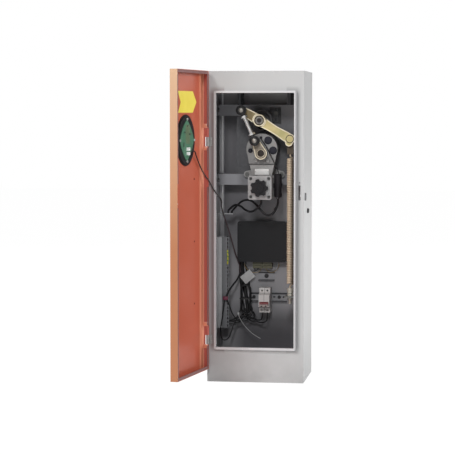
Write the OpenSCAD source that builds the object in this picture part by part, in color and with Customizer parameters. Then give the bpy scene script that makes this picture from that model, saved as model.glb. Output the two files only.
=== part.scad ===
/* [Cabinet] */
// Outside width of the cabinet
cabinet_w = 312; // [306:1:330]
// Outside depth of the cabinet, front face to back face
cabinet_d = 270; // [266:1:300]
// Overall height of the cabinet
cabinet_h = 1000; // [985:1:1060]
// Thickness of the cabinet sheet
sheet = 2; // [1.5:0.1:2.5]
// Outside radius of the two folded rear corners
corner_r = 6; // [4:0.5:10]

/* [Service opening] */
// Width of the frame beside the opening
frame_face = 30.5; // [28:0.5:33]
// Clear height of the opening
opening_h = 817; // [800:1:820]
// Height of the lower edge of the opening
opening_sill = 113; // [108:1:118]
// Width of the rubber trim round the opening
rim_w = 7; // [6:0.5:8]
// How far the trim stands out from the front face
rim_proud = 12; // [10:0.5:14]
// How far the folded edge inside the trim stands out
fold_proud = 9; // [7:0.5:9]
// Gap between trim and folded edge
trim_clearance = 0.2; // [0.1:0.05:0.3]

/* [Base] */
// Thickness of the base plate
base_t = 6; // [4:0.5:10]
// Spacing of the anchor holes across the cabinet
anchor_x = 220; // [200:1:240]
// Spacing of the anchor holes along the depth
anchor_y = 180; // [160:1:200]
// Radius of an anchor hole
anchor_r = 7; // [5:0.5:9]
// Width of the cable entry
entry_w = 150; // [100:1:170]
// Depth of the cable entry
entry_d = 110; // [80:1:130]

/* [Door] */
// Distance of the door's edges from the sides of the cabinet
door_margin = 9.5; // [8.5:0.5:11]
// Height of the lower edge of the door
door_sill = 43; // [35:1:55]
// Depth of the folded edges
door_depth = 24; // [22:0.5:28]
// Thickness of the door sheet
door_sheet = 1.5; // [1:0.1:2]
// Gap between the closed door and the cabinet front
door_gap = 3; // [2.8:0.1:4]
// Angle at which the door stands open
door_open = 100; // [80:1:110]
// Radius of a door rivet head
rivet_r = 3; // [2:0.25:4]
// Distance of the rivet row from the middle of the door, on the hinge side
rivet_x = 70; // [50:1:90]
// Distances of the three rivets below the top of the door
rivet_drop = [738, 540, 342];

/* [Hinges] */
// Distance of the hinge axis from the edge of the closed door
hinge_out = 6.5; // [6:0.1:7]
// Distance of the hinge axis from the cabinet front
hinge_stand = 9; // [8.5:0.1:10]
// Radius of a hinge knuckle
knuckle_r = 5; // [4:0.1:5.5]
// Radius of a hinge pin
hinge_pin_r = 2.5; // [2:0.1:3]
// Height of one knuckle
knuckle_h = 29; // [20:1:36]
// Gap between the two knuckles of a hinge
knuckle_gap = 0.4; // [0.3:0.1:1]
// Thickness of a hinge leaf
leaf_t = 2.3; // [1.5:0.1:2.4]
// Reach of the cabinet leaf to the right of the axis
leaf_reach = 14; // [10:0.5:16]
// Heights of the lower edges of the cabinet knuckles
hinge_z = [123, 760];
// Depth of the notch in the folded edge behind each hinge axis
notch_back = 5; // [4.5:0.5:8]
// Margin of the notch above and below the hinge
notch_margin = 1.5; // [1:0.5:8]
// Length of the door knuckle's tongue on the folded edge
knuckle_tongue = 14; // [12:0.5:18]

/* [Lock] */
// Height of the lock axis
lock_z = 598; // [590:1:600]
// Distance of the lock axis behind the cabinet front
lock_back = 40; // [38:0.5:42]
// Radius of the lock barrel
lock_r = 8; // [7:0.5:10]
// Radius of the turning plug
lock_plug_r = 5; // [4:0.25:6]
// Length of the lock cam from its axis to its tip
cam_length = 52; // [50:0.5:53]
// Width of the lock cam
cam_w = 12; // [10:0.5:12]
// Thickness of the lock cam
cam_t = 3; // [2:0.25:4]
// Distance of the cam's middle from the inside of the side wall
cam_inset = 12; // [11.5:0.5:14]
// Depth of the hook below the cam
hook_drop = 5; // [4:0.5:6]
// Width of the latch slot
slot_w = 7; // [5:0.25:8]
// Radius of the keeper pin on the door
keeper_r = 2.5; // [2:0.25:3]
// Clearance between hook and keeper pin
hook_clearance = 0.5; // [0.3:0.1:1]
// Radius of the blanking plug on the side
side_plug_r = 7; // [5:0.5:10]
// Height of the blanking plug
side_plug_z = 549; // [530:1:570]

/* [Chassis] */
// Thickness of the chassis plate
chassis_t = 4; // [3:0.5:6]
// Gap between chassis plate and cabinet back
chassis_back = 59; // [50:1:70]
// Rise of the chassis plate above the boom shaft
chassis_rise = 51; // [45:1:56]
// Height of the chassis plate itself
chassis_h = 265; // [255:1:280]
// Depth of the folded ends of the chassis plate
chassis_flange = 32; // [26:1:45]
// Width of the window at the left of the plate
window_w = 59; // [45:1:62]
// Height of that window
window_h = 190; // [150:1:200]
// Radius of the chassis bolts
bolt_r = 4; // [3:0.5:5]
// Width of a roof strap
strap_w = 22; // [16:1:30]
// Thickness of a roof strap
strap_t = 3; // [2:0.5:5]
// Overlap of a roof strap and the chassis plate
strap_lap = 34; // [25:1:45]

/* [Drive shaft] */
// Distance of the boom shaft below the roof
shaft_drop = 158; // [150:1:170]
// Radius of the boom shaft
shaft_r = 12; // [10:0.5:13]
// Radius of the round housing of a flange bearing
bearing_r = 27; // [24:0.5:30]
// Depth of a flange bearing
bearing_depth = 22; // [16:1:26]
// Distance of the bearing bolts from the shaft
bearing_bolt_reach = 50; // [46:0.5:54]
// Tilt of the bearing ears
bearing_tilt = 28; // [0:1:40]
// Radial running clearance of shafts and pins
running = 0.05; // [0.03:0.01:0.08]
// Radius of the boom flange
boom_flange_r = 55; // [50:1:60]
// Thickness of the boom flange
boom_flange_t = 12; // [8:0.5:16]
// Bolt circle of the boom flange
boom_pcd = 84; // [80:1:90]
// Radius of a boom bolt hole
boom_hole_r = 5.5; // [4:0.5:6.5]
// Gap between cabinet back and boom flange hub
boom_gap = 3; // [2:0.5:6]

/* [Linkage] */
// Swing of the boom shaft between up and down
swing = 90; // [85:1:92]
// Upper ball joint, measured from the shaft, across
lever_rod_x = -57; // [-60:0.5:-52]
// Upper ball joint, measured from the shaft, upward
lever_rod_z = 33; // [28:0.5:36]
// Spring pin, measured from the shaft, across
lever_spring_x = 100; // [94:0.5:106]
// Spring pin, measured from the shaft, upward
lever_spring_z = -60; // [-64:0.5:-56]
// Thickness of lever and crank
lever_t = 12; // [10:0.5:14]
// Radius of the lever hub
lever_hub_r = 20; // [19:0.5:24]
// How far the lever hub stands out in front
lever_hub_proud = 4; // [2:0.5:6]
// Radius of the lever end at the ball joint
lever_rod_r = 14; // [12:0.5:16]
// Radius of the lever end at the spring pin
lever_spring_r = 16; // [14:0.5:18]
// Narrowest width of the long lever arm
lever_waist = 27; // [22:0.5:32]
// Radius of the spring pin
spring_pin_r = 8; // [6:0.5:9]
// Drop of the crank axis below the boom shaft
crank_drop = 107; // [102:1:112]
// Sideways place of the crank axis
crank_x = 5; // [0:0.5:8]
// Radius of the crank hub
crank_hub_r = 20; // [18:0.5:22]
// Radius of the crank eye
crank_eye_r = 12; // [10:0.5:14]
// Radius of the gearbox output shaft
crank_shaft_r = 10; // [8:0.5:11]
// Radius of a ball joint with its boot
joint_r = 16.5; // [15:0.5:18]
// Depth of a ball joint
joint_depth = 18; // [16:0.5:20]
// Radius of the ball inside a joint
ball_r = 8; // [7:0.25:9]
// Radius of the ball studs
stud_r = 5; // [4:0.25:6]
// Length of bare stud between joint and lever
stud_length = 8; // [6:0.5:12]
// Radius of the tie rod
rod_r = 6; // [5:0.25:7]
// Clearance at the open pivots of the linkage
open_clearance = 0.4; // [0.3:0.1:0.6]

/* [Gear motor] */
// Depth of the gearbox in front of the chassis
gearbox_depth = 80; // [70:1:90]
// Widest half width of the gearbox
gearbox_half_w = 51; // [46:0.5:53]
// Height of the gearbox crown above the crank axis
gearbox_crown = 64; // [58:0.5:68]
// Drop of the parting groove below the crank axis
gearbox_groove = 37; // [34:0.5:44]
// Half width of the gearbox at the groove
gearbox_waist = 42; // [38:0.5:46]
// Gap between gearbox and crank
crank_gap = 14; // [12:0.5:18]
// Drop of the motor axis below the crank axis
motor_drop = 111; // [106:0.5:118]
// Side of the square motor
motor_side = 77; // [72:0.5:80]
// Length of the motor in front of the gearbox foot
motor_length = 62; // [55:1:72]
// Thickness of the motor end bell
bell_t = 20; // [14:0.5:24]
// Thickness of the end bell under its screws
bell_floor = 9; // [7:0.5:11]
// Set-back of the gear cover behind the gearbox front
cover_step = 2; // [1:0.5:4]
// Thickness of the gear cover
cover_t = 10; // [8:0.5:14]
// Depth of the cover's screw seats behind the gearbox front
cover_seat = 6; // [5:0.5:8]
// Height of a socket screw head
screw_head = 5; // [4:0.25:6]
// How far the gearbox foot sits behind the gearbox front
foot_step = 25; // [20:1:35]
// Sideways reach of the gearbox lugs
lug_x = 57; // [54:0.5:62]
// Drop of the gearbox lugs below the crank axis
lug_drop = 71; // [66:0.5:76]
// Radius of a gearbox lug
lug_r = 11; // [9:0.5:13]
// Depth of the output shaft's bore in the gearbox
output_depth = 46; // [40:1:60]
// Radius of the motor shaft
motor_shaft_r = 5; // [4:0.25:6]
// Outer radius of the star handwheel
wheel_r = 29; // [26:0.5:31]
// Thickness of the star handwheel
wheel_t = 18; // [14:0.5:22]
// Radius of the motor capacitor
capacitor_r = 12.5; // [11:0.5:14]
// Height of the motor capacitor
capacitor_h = 76; // [60:1:80]

/* [Balance spring] */
// Outside diameter of the spring
spring_od = 23; // [21:0.5:25]
// Diameter of the spring wire
spring_wire = 5; // [4:0.1:5]
// Distance from one turn to the next
spring_pitch = 5.6; // [5.5:0.05:6.2]
// Number of turns
spring_turns = 73; // [60:1:76]
// Length of each straightened spring end
spring_end = 14; // [12:0.5:18]
// Radius of the collars at the spring ends
collar_r = 11; // [9:0.5:12]
// Thickness of the spring yoke
yoke_t = 8; // [6:0.5:9]
// Half width of the spring yoke
yoke_half_w = 10; // [8:0.5:12]
// Length of the collar on the yoke
yoke_collar = 16; // [14:1:24]
// Half depth of the spring bracket
bracket_half = 24; // [20:1:30]
// Drop of the spring bracket's wall flange
bracket_drop = 46; // [40:1:60]
// Reach of the spring bracket past the spring
bracket_lip = 16; // [13:0.5:20]
// Thickness of the spring bracket
bracket_t = 6; // [4:0.5:8]
// Radius of the spring tension stud
tension_r = 5; // [4:0.25:6]

/* [Electrical] */
// Width of the controller
controller_w = 166; // [150:1:175]
// Height of the controller
controller_h = 137; // [120:1:140]
// Depth of the controller with its lid
controller_d = 38; // [30:0.5:45]
// Depth of the controller lid
lid_d = 10; // [6:0.5:14]
// Height of the lower edge of the controller
controller_z = 369; // [366:1:380]
// Sideways place of the controller's middle
controller_x = -7; // [-15:0.5:5]
// Width of one terminal plug
plug_w = 32; // [28:0.5:33]
// Height of a terminal plug
plug_h = 22; // [16:0.5:24]
// Depth of a terminal plug
plug_d = 16; // [12:0.5:20]
// Height of a mounting rail
rail_h = 35; // [34:0.5:36]
// Depth of a mounting rail
rail_d = 7.5; // [7:0.25:15]
// Sheet of a mounting rail
rail_t = 1; // [0.8:0.1:1.4]
// Height of a rail bolt's head
rail_bolt_head = 3.5; // [3:0.25:5]
// Radius of a rail bolt's head
rail_bolt_r = 5.5; // [5:0.25:6.5]
// Height of the middle of the long rail
long_rail_z = 249; // [244:0.5:254]
// Length of the long rail
long_rail_l = 126; // [110:1:140]
// Height of the middle of the short rail
short_rail_z = 320; // [316:0.5:322]
// Length of the short rail
short_rail_l = 55; // [45:1:65]
// Width of the two-pole breaker
breaker_w = 36; // [35:0.25:37]
// Height of the breaker
breaker_h = 82; // [78:0.5:86]
// Depth of the breaker to the front of its nose
breaker_d = 66; // [60:0.5:70]
// Height of the breaker nose
breaker_nose = 45; // [42:0.5:48]
// Radius of the toggle barrel
toggle_r = 7; // [6:0.25:7.5]
// Length of the toggle in front of its barrel
toggle_reach = 15; // [12:0.5:18]
// Angle of the toggle below level when it is off
toggle_off = 28; // [20:1:32]
// Side of the wall channel
channel_side = 32; // [24:0.5:36]
// Depth of the wall channel
channel_d = 50; // [40:1:60]
// Height of the wall channel
channel_h = 305; // [280:1:320]
// Reach of the cable bracket from the side wall
tab_reach = 56; // [52:1:64]
// Distance of the cable bracket below the chassis plate
tab_below = 97; // [85:1:100]
// Distance of the wall channel below the cable bracket
channel_below = 76; // [60:1:90]
// Distance of the two cable holes from the side wall
tab_holes = [38, 50];

/* [Door sign] */
// Radius of the round sign
sign_r = 80; // [74:0.5:84]
// Distance of the middle of the sign below the top of the door
sign_drop = 219; // [210:1:230]
// Place of the sign across the door
sign_x = 14; // [0:0.5:20]
// Depth of the sign housing behind the door
sign_depth = 5; // [4.5:0.5:9]
// Width of the rim that holds the sign to the door
sign_rim = 8; // [6:0.5:12]
// Thickness of the sign lens
lens_t = 4; // [3:0.25:4.25]
// Gap behind the sign lens
lens_gap = 0.5; // [0.3:0.1:1]
// Reach of the circuit board's corners
board_reach = 71; // [64:0.5:72]
// Thickness of the circuit board
board_t = 1.6; // [1.2:0.1:2.4]
// Radius of the board screws
board_screw_r = 4; // [3:0.25:5]

/* [Cables] */
// Radius of the motor and capacitor cables
cable_r = 3.5; // [3:0.25:4]
// Radius of the sign cable
sign_cable_r = 2; // [1.5:0.25:2.5]
// Radius of the main harness
harness_r = 6; // [5:0.25:7]
// Radius of the breaker leads
lead_r = 2; // [1.5:0.25:2.5]

/* [Hidden] */
$fn = 48;

// Planes of the cabinet, the front at negative y
front_y = -cabinet_d / 2;
back_y = cabinet_d / 2;
wall_x = cabinet_w / 2 - sheet;
wall_back = back_y - sheet;
front_in = front_y + sheet;
roof_z = cabinet_h - sheet;
door_w = cabinet_w - 2 * door_margin;
sign_z = cabinet_h - sign_drop;
rivet_z = [for (drop = rivet_drop) cabinet_h - drop];
opening_w = cabinet_w - 2 * frame_face;
shaft_z = cabinet_h - shaft_drop;
crank_z = shaft_z - crank_drop;
chassis_z = shaft_z + chassis_rise - chassis_h;
opening_top = opening_sill + opening_h;

// Planes of the drive, from the chassis plate forward
chassis_y = wall_back - chassis_back - chassis_t;
gearbox_y = chassis_y - gearbox_depth;
lever_back = gearbox_y - crank_gap;
lever_y = lever_back - lever_t;
joint_back = lever_y - stud_length;
rod_y = joint_back - joint_depth / 2;
foot_y = gearbox_y + foot_step;
motor_z = crank_z - motor_drop;
motor_y = foot_y - motor_length;
bell_y = motor_y - bell_t;
yoke_y = lever_back + open_clearance;
spring_y = yoke_y + yoke_t / 2;

// Linkage: the rod and crank lie in one line at both ends of the swing
shaft_p = [0, shaft_z];
crank_p = [crank_x, crank_z];
rod_up = shaft_p + [lever_rod_x, lever_rod_z];
spring_up = shaft_p + [lever_spring_x, lever_spring_z];
rod_up_end = shaft_p + turned([lever_rod_x, lever_rod_z], swing);
reach_out = norm(rod_up - crank_p);
reach_in = norm(rod_up_end - crank_p);
crank_arm = (reach_out - reach_in) / 2;
rod_length = (reach_out + reach_in) / 2;
crank_dir = (rod_up - crank_p) / reach_out;
crank_pin = crank_p + crank_arm * crank_dir;
rod_lean = atan2(crank_dir[0], crank_dir[1]);

// Hinge axis and lock places
hinge_x = -door_w / 2 - hinge_out;
hinge_y = front_y - hinge_stand;
door_rim_y = front_y - door_gap;
door_face_y = door_rim_y - door_depth;
door_in_y = door_face_y + door_sheet;
lock_y = front_y + lock_back;
cam_x = wall_x - cam_inset;
slot_low = lock_z - cam_w / 2 - 4;
slot_high = lock_z + sqrt(pow(cam_length, 2) + pow(cam_w / 2 + hook_drop, 2) - pow(lock_back, 2)) + 2;
keeper_y = lock_y - cam_length + 3 + hook_clearance + keeper_r;
keeper_z = lock_z - cam_w / 2 - hook_clearance - keeper_r;

// Spring places, from the pin down
yoke_reach = 34;
collar_low = spring_up[1] - yoke_reach - yoke_collar;
coil_high = collar_low - spring_end;
coil_low = coil_high - spring_turns * spring_pitch;
anchor_z = coil_low - spring_end;
anchor_nut = 7;
anchor_collar = 9;
shelf_z = anchor_z - anchor_collar - 2 * anchor_nut - 2 - bracket_t;
coil_r = (spring_od - spring_wire) / 2;

// Electrical places
controller_y = wall_back - controller_d;
breaker_back = wall_back - rail_d;
breaker_z = long_rail_z - 6;
breaker_x = 4;
nose_y = breaker_back - breaker_d;
toggle_z = breaker_z - 10;
toggle_y = nose_y + 3;
capacitor_x = crank_x + motor_side / 2 + capacitor_r + 1.5;
capacitor_y = foot_y - capacitor_r - 4;
capacitor_z = motor_z - 33;
channel_y = 60;
tab_y = 52;
tab_z = chassis_z - tab_below;
channel_z = tab_z - channel_below - channel_h;
tab_d = 20;
tab_t = 3;
strap_x = [-76, 90];
window_x = -wall_x + chassis_t + 2;
window_z = chassis_z + 39;

// Cable routes, points chosen along the visible runs
motor_route = [[5, -20, 585], [4, -20, 571], [-8, -16, 556], [-28, -8, 544], [-50, 6, 548], [-70, 22, 560],
    [-90, 40, 562], [-106, 54, 552], [-116, 60, 540], [-116, 60, 534]];
capacitor_route = [[58, -2, 585.5], [57, -4, 570], [50, -2, 550], [36, 2, 535], [20, 4, 533], [2, 6, 546],
    [-16, 10, 566], [-40, 18, 580], [-64, 30, 576], [-82, 42, 562], [-96, 54, 548], [-104, 62, 538], [-104, 62, 534]];
sign_route = [[-186, -297.3, 740], [-177, -259, 746], [-175, -228, 728], [-170, -195, 700], [-160, -171, 672],
    [-146, -157, 648], [-136, -154, 630], [-124, -153, 610], [-114, -144, 596], [-112, -120, 584], [-118, -80, 572],
    [-126, -30, 560], [-130, 20, 548], [-130, 44, 532], [-122, 62, 500], [-110, 84, 450], [-100, 108, 400],
    [-88, 119, 362], [-85, 122, 350]];
harness_route = [[-78, 126.5, 354], [-76, 126.5, 330], [-73, 126.5, 302], [-68, 126.5, 272], [-63, 126.5, 240],
    [-59, 126.5, 212], [-57, 123, 190], [-62, 112, 168], [-76, 100, 150], [-96, 88, 136], [-110, 68, 120],
    [-106, 44, 104], [-84, 22, 84], [-58, 10, 54], [-50, 4, 24], [-50, 4, 2]];
lead_route_a = [[-4, 86, 201.5], [-4, 85, 190], [-8, 88, 178], [-20, 96, 174], [-36, 104, 178]];
lead_route_b = [[12, 86, 201.5], [12, 85, 188], [8, 88, 172], [-8, 96, 166], [-30, 104, 170]];

// Spare cable folded into a hank of loops in front of the harness, its ends led in and out
hank_r = 2.5;
hank_turns = 4;
hank_bend = 15;
hank_run = 66;
hank_pitch = 5.8;
hank_mid = [-63, 117.7, 243];
hank_in = [[-78, 117.7, 350], [-78, 117.7, 320], [-78, 117.7, 294]];
hank_out = [[-80, 93, 206], [-88, 91, 178], [-104, 88, 150], [-122, 86, 134], [-138, 85, 134], [-146, 85, 146],
    [-146, 85, 166]];
function loop_point(q) =
    q < 9 ? [hank_bend * cos(20 * q), hank_run / 2 + hank_bend * sin(20 * q)]
    : q < 12 ? [-hank_bend, hank_run / 2 - hank_run * (q - 9) / 3]
    : q < 21 ? [hank_bend * cos(20 * (q - 3)), -hank_run / 2 + hank_bend * sin(20 * (q - 3))]
    : [hank_bend, -hank_run / 2 + hank_run * (q - 21) / 3];
function hank_point(k) =
    let (p = loop_point((k + 9) % 24))
    hank_mid + [p[0], -hank_pitch * k / 24, p[1]];
hank_loops = [for (k = [0:24 * hank_turns + 2]) hank_point(k)];
hank_path = concat(hank_in, hank_loops, hank_out);
hank_gaps = [for (i = [0:len(hank_path) - 14], j = [i + 13:len(hank_path) - 1])
    norm(hank_path[j] - hank_path[i]) - 2 * hank_r];
echo(least_hank_gap = min(hank_gaps));

function turned(p, a) = [p[0] * cos(a) - p[1] * sin(a), p[0] * sin(a) + p[1] * cos(a)];
function unit(v) = v / norm(v);
function ring(p, t, ref, r, sides) =
    let (n = unit(cross(t, ref)), b = cross(t, n))
    [for (k = [0:sides - 1]) p + r * (cos(360 * k / sides) * n + sin(360 * k / sides) * b)];
function heading(path, i) =
    i == 0 ? unit(path[1] - path[0])
    : i == len(path) - 1 ? unit(path[i] - path[i - 1])
    : unit(unit(path[i + 1] - path[i]) + unit(path[i] - path[i - 1]));

// Tube of triangles along a path, closed at both ends
module tube(path, r, sides, ref) {
    rings = len(path);
    points = [for (i = [0:rings - 1]) each ring(path[i], heading(path, i), ref, r, sides)];
    walls = [for (i = [0:rings - 2], k = [0:sides - 1])
        let (a = i * sides + k, b = i * sides + (k + 1) % sides)
        each [[a, b, a + sides], [b, b + sides, a + sides]]];
    caps = [for (k = [1:sides - 2])
        each [[0, k + 1, k], [(rings - 1) * sides, (rings - 1) * sides + k, (rings - 1) * sides + k + 1]]];
    polyhedron(points = points, faces = concat(walls, caps));
}

// Outline in the plane of the cabinet front, y away from the viewer, from y on for t
module upright(y, t) {
    translate([0, y + t, 0])
        rotate([90, 0, 0])
            linear_extrude(t)
                children();
}

// Outline in the plane of a side wall, first axis y and second axis z, from x on for t
module sideways(x, t) {
    translate([x, 0, 0])
        rotate([90, 0, 90])
            linear_extrude(t)
                children();
}

// Cylinder along y with a point of the cabinet front as its axis
module along_y(p, r, y, t) {
    translate([p[0], y + t, p[1]])
        rotate([90, 0, 0])
            cylinder(r = r, h = t);
}

// Cylinder along x
module along_x(x, t, y, z, r) {
    translate([x, y, z])
        rotate([0, 90, 0])
            cylinder(r = r, h = t);
}

module block(x0, x1, y0, y1, z0, z1) {
    translate([x0, y0, z0])
        cube([x1 - x0, y1 - y0, z1 - z0]);
}

module rounded(w, h, r) {
    square([w - 2 * r, h], center = true);
    square([w, h - 2 * r], center = true);
    for (x = [-1, 1], z = [-1, 1])
        translate([x * (w / 2 - r), z * (h / 2 - r)])
            circle(r);
}

// Arm between two round ends, its sides just inside the common tangents
module arm(p0, r0, p1, r1) {
    run = p1 - p0;
    a = atan2(run[1], run[0]);
    b = acos((r0 - r1) / norm(run));
    in0 = 0.97 * r0;
    in1 = 0.97 * r1;
    polygon([
        p0 + in0 * [cos(a + b), sin(a + b)],
        p1 + in1 * [cos(a + b), sin(a + b)],
        p1 + in1 * [cos(a - b), sin(a - b)],
        p0 + in0 * [cos(a - b), sin(a - b)]]);
    translate(p0)
        circle(r0);
    translate(p1)
        circle(r1);
}

// Arm drawn in at its middle by a large arc on each side
module waisted_arm(p0, r0, p1, r1, waist) {
    run = p1 - p0;
    mid = (p0 + p1) / 2;
    side = unit([-run[1], run[0]]);
    sag = (r0 + r1) / 2 - waist / 2;
    chord = norm(run) / 2 - min(r0, r1) * 0.6;
    arc_r = (chord * chord + sag * sag) / (2 * sag);
    difference() {
        arm(p0, r0, p1, r1);
        for (s = [-1, 1])
            translate(mid + s * side * (waist / 2 + arc_r))
                circle(arc_r, $fn = 96);
    }
}

// Hexagon nut or bolt head along y
module hex_y(p, across, y, t) {
    translate([p[0], y + t, p[1]])
        rotate([90, 0, 0])
            cylinder(d = across / cos(30), h = t, $fn = 6);
}

// Turns what is drawn on the closed door to where the door stands open
module opened() {
    translate([hinge_x, hinge_y, 0])
        rotate([0, 0, -door_open])
            translate([-hinge_x, -hinge_y, 0])
                children();
}

// Cabinet shell

module cabinet_wrap() {
    color("gainsboro")
        difference() {
            linear_extrude(roof_z)
                difference() {
                    wrap_outline(cabinet_w / 2, back_y, corner_r);
                    wrap_outline(wall_x, wall_back, corner_r - sheet);
                }
            along_y(shaft_p, shaft_r + 8, wall_back - 1, sheet + 2);
            along_x(wall_x - 1, sheet + 2, lock_y, lock_z, lock_r + trim_clearance);
            along_x(wall_x - 1, sheet + 2, -20, side_plug_z, side_plug_r - 2);
        }
}

module wrap_outline(half_w, rear, r) {
    translate([-half_w, front_in])
        square([2 * half_w, rear - r - front_in]);
    translate([-half_w + r, front_in])
        square([2 * (half_w - r), rear - front_in]);
    for (s = [-1, 1])
        translate([s * (half_w - r), rear - r])
            circle(r);
}

module front_frame() {
    fold_out = opening_w / 2 + rim_w / 2 + sheet / 2;
    mid_z = opening_sill + opening_h / 2;
    fold_h = opening_h + rim_w + sheet;
    color("gainsboro")
        difference() {
            union() {
                block(-cabinet_w / 2, cabinet_w / 2, front_y, front_in, 0, roof_z);
                upright(front_y - fold_proud, fold_proud + 0.5)
                    translate([0, mid_z])
                        square([2 * fold_out, fold_h], center = true);
            }
            upright(front_y - fold_proud - 1, fold_proud + sheet + 2)
                translate([0, mid_z])
                    square([2 * (fold_out - sheet), fold_h - 2 * sheet], center = true);
            block(cam_x - slot_w / 2, cam_x + slot_w / 2, front_y - 1, front_in + 1, slot_low, slot_high);
            along_y([cam_x, slot_high + 9], 2.5, front_y - 1, sheet + 2);
        }
}

module rim_seal() {
    mid_z = opening_sill + opening_h / 2;
    fold_w = opening_w + rim_w;
    fold_h = opening_h + rim_w;
    groove = sheet + 2 * trim_clearance;
    color("lightgray")
        difference() {
            upright(front_y - rim_proud, rim_proud)
                translate([0, mid_z])
                    rounded(opening_w + 2 * rim_w, opening_h + 2 * rim_w, 5);
            upright(front_y - rim_proud - 1, rim_proud + 2)
                translate([0, mid_z])
                    rounded(opening_w, opening_h, 2);
            upright(front_y - fold_proud - trim_clearance, fold_proud + trim_clearance + 1)
                translate([0, mid_z])
                    difference() {
                        square([fold_w + groove, fold_h + groove], center = true);
                        square([fold_w - groove, fold_h - groove], center = true);
                    }
        }
}

module roof_panel() {
    color("gainsboro")
        block(-cabinet_w / 2, cabinet_w / 2, front_y, back_y, roof_z, cabinet_h);
}

module base_plate() {
    color("darkgray")
        difference() {
            linear_extrude(base_t)
                difference() {
                    wrap_outline(wall_x, wall_back, corner_r - sheet);
                    rounded(entry_w, entry_d, 10);
                }
            for (x = [-1, 1], y = [-1, 1])
                translate([x * anchor_x / 2, y * anchor_y / 2, -1])
                    cylinder(r = anchor_r, h = base_t + 2);
        }
}

// Chassis and bearings

module chassis_plate() {
    color("silver")
        difference() {
            union() {
                block(-wall_x, wall_x, chassis_y, chassis_y + chassis_t, chassis_z, chassis_z + chassis_h);
                for (s = [0, 1])
                    mirror([s, 0, 0])
                        block(wall_x - chassis_t, wall_x, chassis_y - chassis_flange, chassis_y + 1,
                            chassis_z, chassis_z + chassis_h);
            }
            block(window_x, window_x + window_w, chassis_y - 1, chassis_y + chassis_t + 1,
                window_z, window_z + window_h);
            along_y(shaft_p, shaft_r + 4, chassis_y - 1, chassis_t + 2);
            for (p = plate_bolts())
                along_y(p, bolt_r + 0.2, chassis_y - 1, chassis_t + 2);
            for (z = flange_bolts(), s = [0, 1])
                mirror([s, 0, 0])
                    along_x(wall_x - chassis_t - 1, chassis_t + 2, flange_bolt_y(), z, bolt_r + 0.2);
        }
}

function ear(side) = shaft_p + side * bearing_bolt_reach * [cos(bearing_tilt), sin(bearing_tilt)];
function gear_ears() = [[crank_x - lug_x, crank_z - lug_drop], [crank_x + lug_x, crank_z - lug_drop]];
function plate_bolts() = concat([ear(-1), ear(1)], gear_ears());
function flange_bolts() = [chassis_z + 16, chassis_z + chassis_h - 17];
function flange_bolt_y() = chassis_y - chassis_flange / 2;
ear_t = 12;

// Bolts of bearing, gearbox and chassis: head in front, nut behind
module chassis_bolts() {
    color("dimgray") {
        for (p = plate_bolts()) {
            hex_y(p, 3.25 * bolt_r, chassis_y - ear_t - 5, 5);
            along_y(p, bolt_r, chassis_y - ear_t - 0.5, ear_t + chassis_t + 1);
            hex_y(p, 3.25 * bolt_r, chassis_y + chassis_t, 6);
        }
        for (z = flange_bolts(), s = [0, 1])
            mirror([s, 0, 0]) {
                along_x(wall_x - chassis_t - 5, 5, flange_bolt_y(), z, 1.6 * bolt_r);
                along_x(wall_x - chassis_t - 1, chassis_t + 1, flange_bolt_y(), z, bolt_r);
            }
    }
}

module roof_straps() {
    color("silver")
        for (x = strap_x)
            block(x - strap_w / 2, x + strap_w / 2, chassis_y + chassis_t, chassis_y + chassis_t + strap_t,
                chassis_z + chassis_h - strap_lap, roof_z);
}

// Oval flange bearing whose ears rest on the plane y, the housing towards the viewer
module flange_bearing(y) {
    difference() {
        union() {
            upright(y - ear_t, ear_t)
                for (s = [-1, 1])
                    arm(shaft_p, bearing_r + 3, ear(s), 2.4 * bolt_r);
            along_y(shaft_p, bearing_r, y - bearing_depth, bearing_depth);
        }
        along_y(shaft_p, shaft_r + running, y - bearing_depth - 1, bearing_depth + 2);
        along_y(shaft_p, shaft_r + 8, y - bearing_depth - 1, 3);
        for (s = [-1, 1])
            along_y(ear(s), bolt_r + 0.2, y - ear_t - 1, ear_t + 2);
    }
}

module front_bearing() {
    color("dimgray")
        flange_bearing(chassis_y);
}

module rear_bearing() {
    color("dimgray")
        flange_bearing(wall_back);
}

// Gear motor

module gearbox_outline() {
    crown_r = gearbox_half_w;
    crown_p = crank_p + [0, gearbox_crown - crown_r];
    intersection() {
        union() {
            translate(crown_p)
                circle(crown_r, $fn = 96);
            polygon([
                crown_p + [-0.985 * crown_r, -2],
                crown_p + [0.985 * crown_r, -2],
                crank_p + [gearbox_waist, -gearbox_groove],
                crank_p + [-gearbox_waist, -gearbox_groove]]);
        }
        translate(crank_p + [-2 * crown_r, -gearbox_groove])
            square([4 * crown_r, gearbox_groove + gearbox_crown + 1]);
    }
}

module gearbox_housing() {
    foot_w = motor_side / 2 - 6;
    color("silver")
        difference() {
            union() {
                upright(gearbox_y + cover_step + cover_t, gearbox_depth - cover_step - cover_t)
                    gearbox_outline();
                upright(gearbox_y + cover_step + cover_t, gearbox_depth - cover_step - cover_t)
                    gearbox_skirt(foot_w, 0.5);
                upright(gearbox_y + cover_step + 1, cover_t)
                    gearbox_skirt(foot_w, -1.5);
                upright(foot_y, chassis_y - foot_y)
                    polygon([
                        crank_p + [-foot_w, -gearbox_groove - 20],
                        crank_p + [foot_w, -gearbox_groove - 20],
                        crank_p + [foot_w - 6, -motor_drop - motor_side / 2 + 6],
                        crank_p + [-foot_w + 6, -motor_drop - motor_side / 2 + 6]]);
                upright(chassis_y - ear_t, ear_t)
                    for (p = gear_ears())
                        arm(crank_p + [0, 5 - lug_drop], 2 * lug_r, p, lug_r);
            }
            for (p = gear_ears())
                along_y(p, bolt_r + 0.2, chassis_y - ear_t - 1, ear_t + 2);
            along_y(crank_p, crank_shaft_r + 2, gearbox_y + 8, output_depth);
        }
}

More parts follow.
